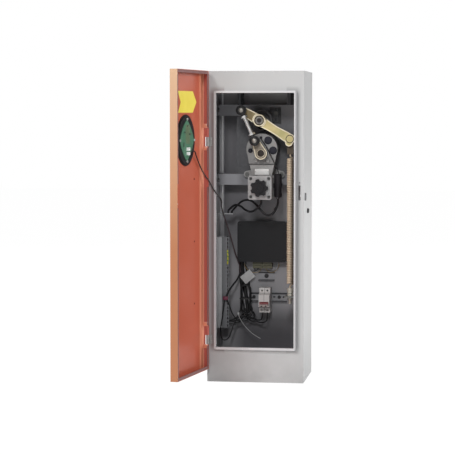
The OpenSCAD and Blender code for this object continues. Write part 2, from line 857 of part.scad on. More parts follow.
// Tapered lower half of the gearbox, its upper edge moved by rise
module gearbox_skirt(foot_w, rise) {
    low = motor_side / 2 + 1 - motor_drop;
    polygon([
        crank_p + [-gearbox_waist + 2, rise - gearbox_groove],
        crank_p + [gearbox_waist - 2, rise - gearbox_groove],
        crank_p + [foot_w, low],
        crank_p + [-foot_w, low]]);
}

function cover_screws() = [for (a = [0, 60, 120, 180, 240, 300]) crank_p + [0, 8] + 38 * [cos(a), sin(a)]];

// Front cover of the gears with sunk screw seats and the output boss
module gearbox_cover() {
    color("silver")
        difference() {
            union() {
                upright(gearbox_y + cover_step, cover_t)
                    gearbox_outline();
                along_y(crank_p, crank_hub_r + 5, gearbox_y - 3, 6);
            }
            for (p = cover_screws())
                along_y(p, 8, gearbox_y, cover_seat);
            for (p = cover_screws())
                along_y(p, 3.2, gearbox_y, cover_step + cover_t + 1);
            along_y(crank_p, crank_shaft_r + running, gearbox_y - 4, 20);
        }
}

module motor_section(inset) {
    translate([crank_x, motor_z])
        rounded(motor_side - 2 * inset, motor_side - 2 * inset, 7 - inset);
}

// Motor stator with a stack of cooling grooves round it
module motor_body() {
    groove_count = 5;
    groove_step = motor_length / (groove_count + 1);
    color("silver")
        difference() {
            upright(motor_y, motor_length)
                motor_section(0);
            for (i = [1:groove_count])
                upright(motor_y + i * groove_step - 2, 4)
                    difference() {
                        motor_section(-2);
                        motor_section(3);
                    }
            along_y([crank_x, motor_z], motor_shaft_r + 1, motor_y - 1, motor_length + 2);
        }
}

function bell_screws() = [for (x = [-1, 1], z = [-1, 1])
    [crank_x + x * (motor_side / 2 - 9), motor_z + z * (motor_side / 2 - 9)]];

module motor_end_bell() {
    color("silver")
        difference() {
            union() {
                upright(bell_y + 5, bell_t - 5)
                    motor_section(0);
                along_y([crank_x, motor_z], motor_side / 2 - 6, bell_y, bell_t);
            }
            for (p = bell_screws())
                along_y(p, 6, bell_y - 1, bell_t - bell_floor + 1);
            along_y([crank_x, motor_z], motor_shaft_r + running, bell_y - 1, bell_t + 2);
        }
}

// Socket screws of the gear cover and of the motor end bell
module drive_screws() {
    color("dimgray") {
        for (p = cover_screws())
            difference() {
                along_y(p, 5.5, gearbox_y + cover_seat - screw_head, screw_head);
                hex_y(p, 5, gearbox_y + cover_seat - screw_head - 1, screw_head - 1);
            }
        for (p = bell_screws())
            difference() {
                along_y(p, 4, bell_y + bell_t - bell_floor - screw_head, screw_head);
                hex_y(p, 3.5, bell_y + bell_t - bell_floor - screw_head - 1, screw_head - 1);
            }
    }
}

// Star handwheel on the tail of the motor shaft
module handwheel() {
    lobes = 7;
    hub_y = bell_y - wheel_t - 2;
    axis = [crank_x, motor_z];
    color("black") {
        difference() {
            union() {
                along_y(axis, wheel_r, hub_y + 5, wheel_t - 5);
                along_y(axis, 0.52 * wheel_r, hub_y, wheel_t);
            }
            for (i = [0:lobes - 1])
                along_y(axis + 1.1 * wheel_r * [cos(360 * (i + 0.5) / lobes), sin(360 * (i + 0.5) / lobes)],
                    0.3 * wheel_r, hub_y - 1, wheel_t + 2);
            along_y(axis, 0.3 * wheel_r, hub_y - 1, 4);
        }
        along_y(axis, motor_shaft_r, hub_y + wheel_t - 1, bell_t + motor_length + 1);
    }
}

module capacitor() {
    color("dimgray")
        translate([capacitor_x, capacitor_y, capacitor_z]) {
            rotate_extrude()
                polygon([[0, 0], [capacitor_r - 1.5, 0], [capacitor_r, 1.5], [capacitor_r, capacitor_h - 3],
                    [capacitor_r - 3, capacitor_h], [0, capacitor_h]]);
            for (s = [-1, 1])
                translate([s * 4 - 1, -3, -5])
                    cube([2, 6, 6]);
        }
}

// Band round the capacitor, screwed to the side of the motor
module capacitor_clip() {
    band = 1.5;
    clip_z = capacitor_z + 30;
    side_x = crank_x + motor_side / 2;
    color("silver")
        difference() {
            union() {
                translate([capacitor_x, capacitor_y, clip_z])
                    cylinder(r = capacitor_r + band, h = 16);
                block(side_x, capacitor_x, capacitor_y - 6, capacitor_y + 6, clip_z, clip_z + 16);
            }
            translate([capacitor_x, capacitor_y, clip_z - 1])
                cylinder(r = capacitor_r + running, h = 18);
            block(side_x - 10, side_x, capacitor_y - 30, capacitor_y + 30, clip_z - 1, clip_z + 17);
        }
}

// Lever, crank and tie rod

module main_shaft() {
    front = lever_y - lever_hub_proud;
    color("gray")
        difference() {
            along_y(shaft_p, shaft_r, front, back_y + boom_gap + 10 + boom_flange_t - front);
            along_y(shaft_p, 5, front - 1, 16);
        }
}

module boom_flange() {
    hub_y = back_y + boom_gap;
    color("dimgray")
        difference() {
            union() {
                along_y(shaft_p, shaft_r + 12, hub_y, 10 + boom_flange_t);
                along_y(shaft_p, boom_flange_r, hub_y + 10, boom_flange_t);
            }
            along_y(shaft_p, shaft_r + 0.02, hub_y - 1, boom_flange_t + 12);
            for (a = [45, 135, 225, 315])
                along_y(shaft_p + boom_pcd / 2 * [cos(a), sin(a)], boom_hole_r, hub_y, boom_flange_t + 12);
        }
}

module drive_lever() {
    tip = spring_up + [-3, -12];
    color("goldenrod")
        difference() {
            union() {
                upright(lever_y, lever_t) {
                    arm(shaft_p, lever_hub_r - 2, rod_up, lever_rod_r);
                    waisted_arm(shaft_p, lever_hub_r - 1, spring_up, lever_spring_r, lever_waist);
                    arm(spring_up, lever_spring_r - 1, tip, 12);
                }
                along_y(shaft_p, lever_hub_r, lever_y - lever_hub_proud, lever_t + lever_hub_proud + 8);
            }
            along_y(shaft_p, shaft_r + 0.02, lever_y - lever_hub_proud - 1, lever_t + lever_hub_proud + 10);
            block(-1, 1, lever_y - lever_hub_proud - 1, lever_back + 9, shaft_z - lever_hub_r - 1, shaft_z);
            along_y(rod_up, stud_r + 0.02, lever_y - 1, lever_t + 2);
            along_y(spring_up, spring_pin_r + 0.02, lever_y - 1, lever_t + 2);
            along_x(-lever_hub_r - 1, 2 * lever_hub_r + 2, clamp_y(), clamp_z(), clamp_r + 0.1);
            along_x(clamp_seat(), lever_hub_r, clamp_y(), clamp_z(), 2 * clamp_r + 0.2);
        }
}

clamp_r = 2.5;
function clamp_y() = lever_back + 3;
function clamp_z() = shaft_z - shaft_r - clamp_r - 1.5;
function clamp_seat() = sqrt(pow(lever_hub_r, 2) - pow(shaft_r + clamp_r + 1.5, 2));

// Screw that draws the slit hub tight on the shaft
module clamp_bolt() {
    color("dimgray") {
        along_x(-clamp_seat(), 2 * clamp_seat() + 1, clamp_y(), clamp_z(), clamp_r);
        along_x(clamp_seat(), 5, clamp_y(), clamp_z(), 1.8 * clamp_r);
    }
}

module spring_pin() {
    color("goldenrod") {
        along_y(spring_up, spring_pin_r, lever_y - 2, lever_t + 2);
        difference() {
            along_y(spring_up, spring_pin_r + 3, lever_y - 4, 4);
            along_y(spring_up, spring_pin_r, lever_y - 5, 2);
        }
    }
}

// Upper ball and its stud, fast in the lever
module ball_stud() {
    color("silver") {
        along_y(rod_up, stud_r, rod_y, joint_depth / 2 + stud_length + lever_t + 4);
        translate([rod_up[0], rod_y, rod_up[1]])
            sphere(r = ball_r);
        hex_y(rod_up, 16, lever_back, 4);
    }
}

// Frame of the rod: its own z runs from the lower joint up to the upper one
module on_rod() {
    translate([crank_pin[0], rod_y, crank_pin[1]])
        rotate([0, rod_lean, 0])
            children();
}

// Length from the middle of a ball joint to the face where the bare rod starts
rod_neck = joint_r + 3;

module tie_rod() {
    color("whitesmoke")
        on_rod() {
            translate([0, 0, rod_neck])
                cylinder(r = rod_r, h = rod_length - 2 * rod_neck);
            for (z = [rod_neck + 1, rod_length - rod_neck - 7])
                translate([0, 0, z])
                    cylinder(d = 19 / cos(30), h = 6, $fn = 6);
        }
}

// Ball joint head seen along its stud, with the neck that takes the rod
module joint_head() {
    half = joint_depth / 2;
    rotate([90, 0, 0])
        rotate_extrude()
            polygon([[0, -half], [joint_r - 5, -half], [joint_r, -half + 1.5], [joint_r, half - 1.5],
                [joint_r - 5, half], [0, half]]);
    translate([0, 0, ball_r + 2])
        cylinder(r = rod_r + 0.8, h = rod_neck - ball_r - 2);
}

// Upper head holds the ball in a seat open towards the lever, lower head has a stud for the crank
module rod_ends() {
    half = joint_depth / 2;
    color("black")
        on_rod() {
            translate([0, 0, rod_length])
                rotate([0, 180, 0])
                    difference() {
                        joint_head();
                        translate([0, -ball_r, 0])
                            rotate([-90, 0, 0])
                                cylinder(r = ball_r + running, h = ball_r + half + 1);
                    }
            joint_head();
            rotate([-90, 0, 0])
                cylinder(r = stud_r, h = half + stud_length - open_clearance);
        }
}

module crank() {
    color("goldenrod")
        difference() {
            union() {
                upright(lever_y, lever_t)
                    arm(crank_p, crank_hub_r, crank_pin, crank_eye_r);
                along_y(crank_p, crank_hub_r - 4, lever_back, crank_gap - 5);
            }
            along_y(crank_p, crank_shaft_r + 0.02, lever_y - 1, lever_t + crank_gap);
        }
}

// Output shaft, sunk a little in the crank so that the rod passes in front of it
module crank_shaft() {
    start = lever_y + 2;
    color("gray")
        difference() {
            along_y(crank_p, crank_shaft_r, start, gearbox_y + output_depth + 4 - start);
            along_y(crank_p, 4, start - 1, 8);
        }
}

// Balance spring

function helix(turn) = [
    spring_up[0] + coil_r * cos(360 * turn),
    spring_y + coil_r * sin(360 * turn),
    coil_low + spring_pitch * turn];
function bezier(p, t) = pow(1 - t, 3) * p[0] + 3 * t * pow(1 - t, 2) * p[1]
    + 3 * t * t * (1 - t) * p[2] + pow(t, 3) * p[3];
end_steps = 7;
// Bend from the coil to the axis, dir up or down, then straight for one wire diameter
function spring_tail(turn, dir) =
    let (p = helix(turn), q = [spring_up[0], spring_y, p[2] + dir * spring_end],
        side = dir * [-sin(360 * turn), cos(360 * turn), 0.1], up = [0, 0, dir])
    concat([for (i = [1:end_steps])
        bezier([p, p + 8 * side, q - (spring_wire + 5) * up, q - spring_wire * up], i / end_steps)], [q]);
function flipped(list) = [for (i = [len(list) - 1:-1:0]) list[i]];
coil_path = [for (i = [0:8 * spring_turns]) helix(i / 8)];
spring_path = concat(flipped(spring_tail(0, -1)), coil_path, spring_tail(spring_turns, 1));
coil_gaps = [for (i = [0:8 * (spring_turns - 1)]) norm(coil_path[i + 8] - coil_path[i]) - spring_wire];
tail_gaps = [for (t = [0:end_steps], i = [0:16])
    norm(spring_path[len(spring_path) - 1 - t] - coil_path[len(coil_path) - 5 - i]) - spring_wire];
echo(least_spring_gap = min(min(coil_gaps), min(tail_gaps)));

module balance_spring() {
    color("goldenrod")
        tube(spring_path, spring_wire / 2, 6, [0.02, 0.01, 1]);
}

// Flat link between lever pin and spring
module spring_yoke() {
    color("gray")
        difference() {
            union() {
                upright(yoke_y, yoke_t) {
                    translate(spring_up)
                        circle(yoke_half_w + 4);
                    translate([spring_up[0] - yoke_half_w, collar_low + yoke_collar - 2])
                        square([2 * yoke_half_w, yoke_reach + 2]);
                }
                translate([spring_up[0], spring_y, collar_low])
                    cylinder(r = collar_r, h = yoke_collar);
            }
            along_y(spring_up, spring_pin_r + 0.3, yoke_y - 1, yoke_t + 2);
            block(spring_up[0] - 30, spring_up[0] + 30, yoke_y - 30, yoke_y, collar_low - 1, spring_up[1] + 30);
        }
}

// Collar, nuts and stud that hold the lower end of the spring
module spring_anchor() {
    color("lightgray")
        translate([spring_up[0], spring_y, 0]) {
            translate([0, 0, anchor_z - anchor_collar])
                cylinder(r = collar_r, h = anchor_collar);
            translate([0, 0, anchor_z - anchor_collar - anchor_nut])
                cylinder(d = 17 / cos(30), h = anchor_nut, $fn = 6);
            translate([0, 0, shelf_z - 20])
                cylinder(r = tension_r, h = anchor_z - anchor_collar - shelf_z + 20);
            translate([0, 0, shelf_z + bracket_t])
                cylinder(d = 17 / cos(30), h = anchor_nut, $fn = 6);
            translate([0, 0, shelf_z - anchor_nut])
                cylinder(d = 17 / cos(30), h = anchor_nut, $fn = 6);
        }
}

module spring_bracket() {
    low_y = spring_y - bracket_half;
    high_y = spring_y + bracket_half;
    color("silver")
        difference() {
            union() {
                block(spring_up[0] - bracket_lip, wall_x, low_y, high_y, shelf_z, shelf_z + bracket_t);
                block(wall_x - bracket_t, wall_x, low_y, high_y, shelf_z - bracket_drop, shelf_z + 1);
                bracket_webs(low_y, high_y);
            }
            translate([spring_up[0], spring_y, shelf_z - 1])
                cylinder(r = tension_r + 0.2, h = bracket_t + 2);
        }
}

// Triangular webs under the spring shelf
module bracket_webs(low_y, high_y) {
    web = bracket_t - 2;
    for (y = [low_y, high_y - web])
        upright(y, web)
            polygon([[spring_up[0] + 14, shelf_z + 1], [wall_x - 1, shelf_z + 1],
                [wall_x - 1, shelf_z - bracket_drop + 6]]);
}

// Electrical pieces on the back wall

module controller_case() {
    color("dimgray")
        difference() {
            upright(controller_y + lid_d, controller_d - lid_d)
                translate([controller_x, controller_z + controller_h / 2])
                    rounded(controller_w - 4, controller_h - 4, 8);
            block(plug_x(0) - plug_w / 2 - 1, plug_x(1) + plug_w / 2 + 1, controller_y + lid_d + 4,
                wall_back - 6, controller_z - 1, controller_z + 8);
        }
}

module controller_lid() {
    color("black")
        difference() {
            upright(controller_y, lid_d)
                translate([controller_x, controller_z + controller_h / 2])
                    rounded(controller_w, controller_h, 10);
            for (x = [-1, 1], z = [0, 1])
                along_y([controller_x + x * (controller_w / 2 - 9), controller_z + 9 + z * (controller_h - 18)],
                    3.5, controller_y - 1, 4);
        }
}

function plug_x(i) = -24 + i * (plug_w + 1);

// Two pluggable terminal strips hanging from the controller's lower edge
module terminal_plugs() {
    ways = 6;
    top = controller_z + 8;
    plug_y = controller_y + lid_d + 5;
    color("yellowgreen")
        for (i = [0, 1])
            difference() {
                block(plug_x(i) - plug_w / 2, plug_x(i) + plug_w / 2, plug_y, plug_y + plug_d, top - plug_h - 8, top);
                for (k = [0:ways - 1])
                    along_y([plug_x(i) + (k - (ways - 1) / 2) * (plug_w - 3) / ways, top - plug_h + 1], 1.6,
                        plug_y - 1, 6);
            }
}

// Top hat rail along x with its slots
module rail(x, length, z, slots) {
    brim = (rail_h - 27) / 2;
    color("silver")
        difference() {
            sideways(x - length / 2, length)
                translate([wall_back, z]) {
                    translate([-rail_t, -rail_h / 2 + brim - rail_t])
                        square([rail_t, rail_h - 2 * brim + 2 * rail_t]);
                    for (s = [0, 1])
                        mirror([0, s]) {
                            translate([-rail_d, rail_h / 2 - brim])
                                square([rail_d, rail_t]);
                            translate([-rail_d, rail_h / 2 - brim])
                                square([rail_t, brim]);
                        }
                }
            for (sx = slots)
                upright(wall_back - rail_t - 1, rail_t + 2)
                    translate([sx, z]) {
                        square([9, 6.4], center = true);
                        for (s = [-1, 1])
                            translate([4.5 * s, 0])
                                circle(3.2);
                    }
        }
}

long_rail_x = 11;
short_rail_x = 4;
long_slots = [-38, 47, 64];

module mounting_rails() {
    rail(long_rail_x, long_rail_l, long_rail_z, long_slots);
    rail(short_rail_x, short_rail_l, short_rail_z, [short_rail_x]);
}

module rail_bolts() {
    color("black") {
        for (p = [[short_rail_x, short_rail_z], [long_slots[0], long_rail_z], [long_slots[1], long_rail_z]]) {
            along_y(p, 3, wall_back - rail_t - 1, rail_t + 1);
            along_y(p, rail_bolt_r, wall_back - rail_t - 1 - rail_bolt_head, rail_bolt_head);
        }
    }
}

// Side outline of the breaker: terminals above and below, nose in the middle
module breaker_outline() {
    half = breaker_h / 2;
    nose = breaker_nose / 2;
    step = 22;
    polygon([
        [breaker_back, -half], [breaker_back, half], [nose_y + step, half], [nose_y + step, nose + 3],
        [nose_y, nose - 3], [nose_y, -nose + 3], [nose_y + step, -nose - 3], [nose_y + step, -half]]);
}

module breaker_body() {
    gap = 0.3;
    color("white")
        difference() {
            sideways(breaker_x - breaker_w / 2, breaker_w)
                translate([0, breaker_z])
                    breaker_outline();
            along_x(breaker_x - breaker_w / 2 + 2.5, breaker_w - 5, toggle_y, toggle_z, toggle_r + gap);
            for (s = [-1, 1]) {
                along_y([breaker_x + s * breaker_w / 4, breaker_z + breaker_h / 2 - 8], 3, nose_y, 30);
                along_y([breaker_x + s * breaker_w / 4, breaker_z - breaker_h / 2 + 8], 3, nose_y, 30);
            }
        }
}

// Linked pair of toggles on one barrel, shown switched off
module breaker_toggle() {
    width = breaker_w - 6;
    color("firebrick")
        translate([breaker_x - width / 2, toggle_y, toggle_z])
            rotate([toggle_off, 0, 0]) {
                rotate([0, 90, 0])
                    cylinder(r = toggle_r, h = width);
                for (x = [0, width - 10])
                    translate([x, -toggle_reach, -3.5])
                        cube([10, toggle_reach, 7]);
                translate([0, -toggle_reach, -3.5])
                    cube([width, 5, 7]);
            }
}

// Wiring channel folded from sheet, open towards the side wall
module wall_channel() {
    skin = 1.5;
    color("gainsboro")
        difference() {
            block(-wall_x, -wall_x + channel_side, channel_y, channel_y + channel_d, channel_z, channel_z + channel_h);
            block(-wall_x - 1, -wall_x + channel_side - skin, channel_y + skin, channel_y + channel_d - skin,
                channel_z - 1, channel_z + channel_h + 1);
        }
}

module cable_bracket() {
    color("silver")
        difference() {
            union() {
                block(-wall_x, -wall_x + tab_reach, tab_y, tab_y + tab_d, tab_z, tab_z + tab_t);
                block(-wall_x, -wall_x + tab_t, tab_y, tab_y + tab_d, tab_z - 24, tab_z + 1);
            }
            for (reach = tab_holes)
                translate([-wall_x + reach, tab_y + tab_d / 2, tab_z - 1])
                    cylinder(r = 1.5, h = tab_t + 2);
        }
}

// Door and what it carries, drawn closed and turned open

module door_pan() {
    mid_z = (door_sill + cabinet_h) / 2;
    color("firebrick")
        opened()
            difference() {
                block(-door_w / 2, door_w / 2, door_face_y, door_rim_y, door_sill, cabinet_h);
                block(-door_w / 2 + door_sheet, door_w / 2 - door_sheet, door_in_y, door_rim_y + 1,
                    door_sill + door_sheet, cabinet_h - door_sheet);
                along_y([sign_x, sign_z], sign_r - sign_rim, door_face_y - 1, door_sheet + 2);
                for (z = rivet_z)
                    along_y([-rivet_x, z], rivet_r / 2 + running, door_face_y - 1, door_sheet + 2);
                for (z = hinge_z)
                    block(-door_w / 2 - 1, -door_w / 2 + door_sheet + 1, hinge_y - notch_back, door_rim_y + 1,
                        z - notch_margin, z + 2 * knuckle_h + knuckle_gap + notch_margin);
            }
}

module hinge_leaves() {
    color("silver")
        for (z = hinge_z)
            difference() {
                union() {
                    translate([hinge_x, hinge_y, z])
                        cylinder(r = knuckle_r, h = knuckle_h);
                    block(hinge_x - 3, hinge_x + 3, hinge_y, front_y, z, z + knuckle_h);
                    block(hinge_x - 3, hinge_x + leaf_reach, front_y - leaf_t, front_y, z, z + knuckle_h);
                }
                translate([hinge_x, hinge_y, z - 1])
                    cylinder(r = hinge_pin_r + 0.02, h = knuckle_h + 2);
            }
}

module hinge_pins() {
    color("gray")
        for (z = hinge_z)
            translate([hinge_x, hinge_y, z])
                cylinder(r = hinge_pin_r, h = 2 * knuckle_h + knuckle_gap);
}

module door_knuckles() {
    color("firebrick")
        opened()
            for (z = hinge_z)
                difference() {
                    union() {
                        translate([hinge_x, hinge_y, z + knuckle_h + knuckle_gap])
                            cylinder(r = knuckle_r, h = knuckle_h);
                        block(-door_w / 2 - leaf_t - 1, -door_w / 2, hinge_y - knuckle_tongue, hinge_y,
                            z + knuckle_h + knuckle_gap, z + 2 * knuckle_h + knuckle_gap);
                    }
                    translate([hinge_x, hinge_y, z])
                        cylinder(r = hinge_pin_r + running, h = 2 * knuckle_h + 2);
                }
}

module door_rivets() {
    color("black")
        opened()
            for (z = rivet_z) {
                along_y([-rivet_x, z], rivet_r / 2, door_face_y, door_sheet + 1);
                along_y([-rivet_x, z], rivet_r, door_in_y, 1.5);
            }
}

// Pin behind the door's free edge that the lock cam hooks
module lock_keeper() {
    edge = door_w / 2 - door_sheet;
    color("silver")
        opened() {
            along_x(cam_x - cam_t / 2 - 1.5, edge - cam_x + cam_t / 2 + 1.5, keeper_y, keeper_z, keeper_r);
            block(edge - 1, edge, door_in_y, keeper_y + keeper_r, keeper_z - 10, keeper_z + 10);
        }
}

module sign_housing() {
    color("black")
        opened()
            difference() {
                union() {
                    along_y([sign_x, sign_z], sign_r, door_in_y, 3);
                    along_y([sign_x, sign_z], sign_r - 4, door_in_y, sign_depth);
                }
                along_y([sign_x, sign_z], sign_r - sign_rim, door_in_y - 1, lens_t - door_sheet + lens_gap);
                for (p = board_corners())
                    along_y(p, 2, door_in_y, sign_depth + 1);
            }
}

module sign_lens() {
    color("dimgray")
        opened()
            along_y([sign_x, sign_z], sign_r - sign_rim - 0.2, door_face_y - 1, lens_t);
}

function board_corners() = [for (a = [0, 90, 180, 270])
    [sign_x, sign_z] + (board_reach - 5) * [cos(a), sin(a)]];

// Square board on its corner, its sides slightly swollen
module sign_board() {
    side_r = 2.2 * board_reach;
    color("seagreen")
        opened()
            difference() {
                upright(door_in_y + sign_depth, board_t)
                    translate([sign_x, sign_z])
                        intersection() {
                            circle(board_reach, $fn = 96);
                            for_all_corners(side_r);
                        }
                for (p = board_corners())
                    along_y(p, 2.2, door_in_y + sign_depth - 1, board_t + 2);
            }
}

// Overlap of four large circles, one for each swollen side
module for_all_corners(side_r) {
    offset_r = side_r - 0.74 * board_reach;
    intersection_for (a = [45, 135, 225, 315])
        translate(offset_r * [cos(a), sin(a)])
            circle(side_r, $fn = 128);
}

module sign_screws() {
    color("silver")
        opened()
            for (p = board_corners()) {
                along_y(p, 1.9, door_in_y + sign_depth - 2, board_t + 2);
                along_y(p, board_screw_r, door_in_y + sign_depth + board_t, 2.5);
            }
}

module sign_connectors() {
    seat = door_in_y + sign_depth + board_t;
    color("white")
        opened()
            for (z = [sign_z - 27, sign_z - 41])
                difference() {
                    block(sign_x - 10, sign_x + 4, seat, seat + 7, z - 5, z + 5);
                    block(sign_x - 8.5, sign_x + 2.5, seat + 2, seat + 8, z - 3.5, z + 3.5);
                }
}

// Lock in the side wall

module lock_barrel() {
    color("gray")
        difference() {
            union() {
                along_x(cam_x + cam_t / 2 + 1.5, cabinet_w / 2 + 2.5 - cam_x - cam_t / 2 - 1.5, lock_y, lock_z, lock_r);
                along_x(cabinet_w / 2, 2.5, lock_y, lock_z, lock_r + 3);
                along_x(wall_x - 4, 4, lock_y, lock_z, lock_r + 3);
            }
            along_x(cam_x - 1, 30, lock_y, lock_z, lock_plug_r + running);
        }
}

// Turning plug and its hooked cam, shown unlocked with the cam upward
module lock_cam() {
    tip = cam_length;
    color("gray") {
        difference() {
            along_x(cam_x - cam_t / 2, cabinet_w / 2 + 3 - cam_x + cam_t / 2, lock_y, lock_z, lock_plug_r);
            block(cabinet_w / 2 + 1, cabinet_w / 2 + 4, lock_y - 3, lock_y + 3, lock_z - 0.6, lock_z + 0.6);
        }
        sideways(cam_x - cam_t / 2, cam_t)
            translate([lock_y, lock_z]) {
                circle(cam_w / 2 + 1);
                translate([-cam_w / 2, 0])
                    square([cam_w, tip]);
                translate([-cam_w / 2 - hook_drop, tip - 3])
                    square([hook_drop + 1, 3]);
            }
    }
}

module side_plug() {
    color("black") {
        along_x(cabinet_w / 2, 2, -20, side_plug_z, side_plug_r);
        along_x(wall_x - 2, sheet + 2, -20, side_plug_z, side_plug_r - 2 - trim_clearance);
    }
}

// Cables

module motor_cable() {
    color("black")
        tube(motor_route, cable_r, 8, [0.1, 1, 0.05]);
}

module capacitor_cable() {
    color("black")
        tube(capacitor_route, cable_r, 8, [0.1, 1, 0.05]);
}

module sign_cable() {
    color("black")
        tube(sign_route, sign_cable_r, 8, [1, 0.2, 0.1]);
}

module harness() {
    color("black") {
        tube(harness_route, harness_r, 8, [0.3, 1, 0.1]);
        tube(hank_path, hank_r, 6, [0.05, 1, 0.03]);
    }
}

module breaker_leads() {
    color("black") {
        tube(lead_route_a, lead_r, 8, [0.1, 1, 0.3]);
        tube(lead_route_b, lead_r, 8, [0.1, 1, 0.3]);
    }
}

cabinet_wrap();
front_frame();
roof_panel();
base_plate();
rim_seal();
chassis_plate();
chassis_bolts();
roof_straps();
front_bearing();
rear_bearing();
gearbox_housing();
gearbox_cover();
motor_body();
motor_end_bell();
drive_screws();
capacitor();
capacitor_clip();
spring_bracket();
spring_anchor();
balance_spring();
controller_case();
controller_lid();
terminal_plugs();
mounting_rails();
rail_bolts();
breaker_body();
breaker_toggle();
wall_channel();
cable_bracket();
hinge_leaves();
hinge_pins();
lock_barrel();
lock_cam();
side_plug();
motor_cable();
capacitor_cable();
sign_cable();
harness();
breaker_leads();
door_pan();
door_knuckles();
door_rivets();
lock_keeper();
sign_housing();
sign_lens();
sign_board();
sign_screws();
sign_connectors();
main_shaft();
boom_flange();
drive_lever();
clamp_bolt();
spring_pin();
ball_stud();
tie_rod();
rod_ends();
crank();
crank_shaft();
handwheel();
spring_yoke();
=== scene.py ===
# Parking barrier gate, its cabinet standing open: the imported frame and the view.
# The camera stands about five and a half metres away, a little to the right, with a long lens.
import math

import bmesh
import bpy
from mathutils import Euler
from mathutils import Matrix
from mathutils import Vector
from mathutils.geometry import interpolate_bezier


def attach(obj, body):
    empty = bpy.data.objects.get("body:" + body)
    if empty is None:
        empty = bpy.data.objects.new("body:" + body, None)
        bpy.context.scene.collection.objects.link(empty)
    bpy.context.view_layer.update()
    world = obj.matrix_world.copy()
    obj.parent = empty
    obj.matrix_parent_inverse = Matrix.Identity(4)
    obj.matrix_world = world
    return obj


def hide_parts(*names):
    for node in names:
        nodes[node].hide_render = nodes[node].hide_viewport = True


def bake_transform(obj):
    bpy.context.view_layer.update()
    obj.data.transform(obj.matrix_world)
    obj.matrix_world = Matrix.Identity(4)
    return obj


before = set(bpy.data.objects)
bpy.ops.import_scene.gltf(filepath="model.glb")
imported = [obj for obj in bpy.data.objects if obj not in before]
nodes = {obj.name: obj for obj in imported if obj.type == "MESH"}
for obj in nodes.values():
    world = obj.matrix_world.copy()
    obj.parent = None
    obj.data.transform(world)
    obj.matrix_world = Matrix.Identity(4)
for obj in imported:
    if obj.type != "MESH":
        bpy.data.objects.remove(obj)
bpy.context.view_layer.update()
scene = bpy.context.scene
scene.view_settings.view_transform = "Standard"

lens = bpy.data.cameras.new("long_lens")
lens.lens = 136.6
lens.sensor_width = 36.0
lens.clip_end = 60.0
camera = bpy.data.objects.new("camera", lens)
camera.location = (0.7104, -5.6082, 0.8630)
camera.rotation_euler = Euler((math.radians(86.237), 0.0, math.radians(8.318)))
scene.collection.objects.link(camera)
scene.camera = camera


# Pale studio floor and soft lamps, not part of the gate. The floor reads as white to the camera and to
# reflections, and still keeps a faint shadow where the cabinet stands. Its finish is the first to be
# written with the two classes below, which all the finishes of the gate use too.
class Value:
    """A socket of a finish, with the arithmetic that the finishes use."""

    def __init__(self, finish, socket):
        self.finish = finish
        self.socket = socket

    def math(self, operation, first, second=0.0):
        return self.finish.node("Math", {"operation": operation}, {0: first, 1: second})

    def __add__(self, other):
        return self.math("ADD", self, other)

    def __radd__(self, other):
        return self.math("ADD", other, self)

    def __sub__(self, other):
        return self.math("SUBTRACT", self, other)

    def __rsub__(self, other):
        return self.math("SUBTRACT", other, self)

    def __mul__(self, other):
        return self.math("MULTIPLY", self, other)

    def __rmul__(self, other):
        return self.math("MULTIPLY", other, self)

    def __gt__(self, level):
        return self.math("GREATER_THAN", self, level)

    def __lt__(self, level):
        return self.math("LESS_THAN", self, level)

    def __abs__(self):
        return self.math("ABSOLUTE", self)

    def __mod__(self, step):
        return self.math("FLOORED_MODULO", self, step)


class Finish:
    """One material, built on its principled shader."""

    def __init__(self, name, **sockets):
        self.material = bpy.data.materials.new(name)
        self.material.use_nodes = True
        self.tree = self.material.node_tree
        self.shader = self.tree.nodes["Principled BSDF"]
        self.place = self.node("TexCoord", output="Object")
        self.set(**sockets)

    def base_color(self):
        return Value(self, self.shader.inputs["Base Color"].links[0].from_socket)

    def put(self, socket, value):
        if isinstance(value, Value):
            self.tree.links.new(value.socket, socket)
        else:
            socket.default_value = value

    def set(self, **sockets):
        for key, value in sockets.items():
            self.put(self.shader.inputs[key.replace("_", " ").title().replace("Ior", "IOR")], value)

    def node(self, kind, settings=None, inputs=None, output=0):
        made = self.tree.nodes.new("ShaderNode" + kind)
        for key, value in (settings or {}).items():
            setattr(made, key, value)
        for key, value in (inputs or {}).items():
            self.put(made.inputs[key], value)
        return Value(self, made.outputs[output])

    def along(self, direction):
        return self.node("VectorMath", {"operation": "DOT_PRODUCT"}, {0: self.place, 1: direction}, "Value")

    def noise(self, scale, detail=3.0, stretch=(1.0, 1.0, 1.0)):
        place = self.node("Mapping", {}, {"Vector": self.place, "Scale": stretch})
        return self.node("TexNoise", {}, {"Vector": place, "Scale": scale, "Detail": detail})

    def ramp(self, value, low, high):
        return self.node("MapRange", {}, {"Value": value, "From Min": low, "From Max": high})

    def mix(self, factor, first, second):
        first = first if isinstance(first, Value) else (*first, 1.0)
        second = second if isinstance(second, Value) else (*second, 1.0)
        return self.node("Mix", {"data_type": "RGBA"}, {0: factor, 6: first, 7: second}, 2)

    def tint(self, factor, colour):
        """Lays a second colour over the base colour, where the factor says."""
        self.set(base_color=self.mix(factor, self.base_color(), colour))

    def bump(self, height, strength, distance=0.001):
        return self.node("Bump", {}, {"Height": height, "Strength": strength, "Distance": distance})


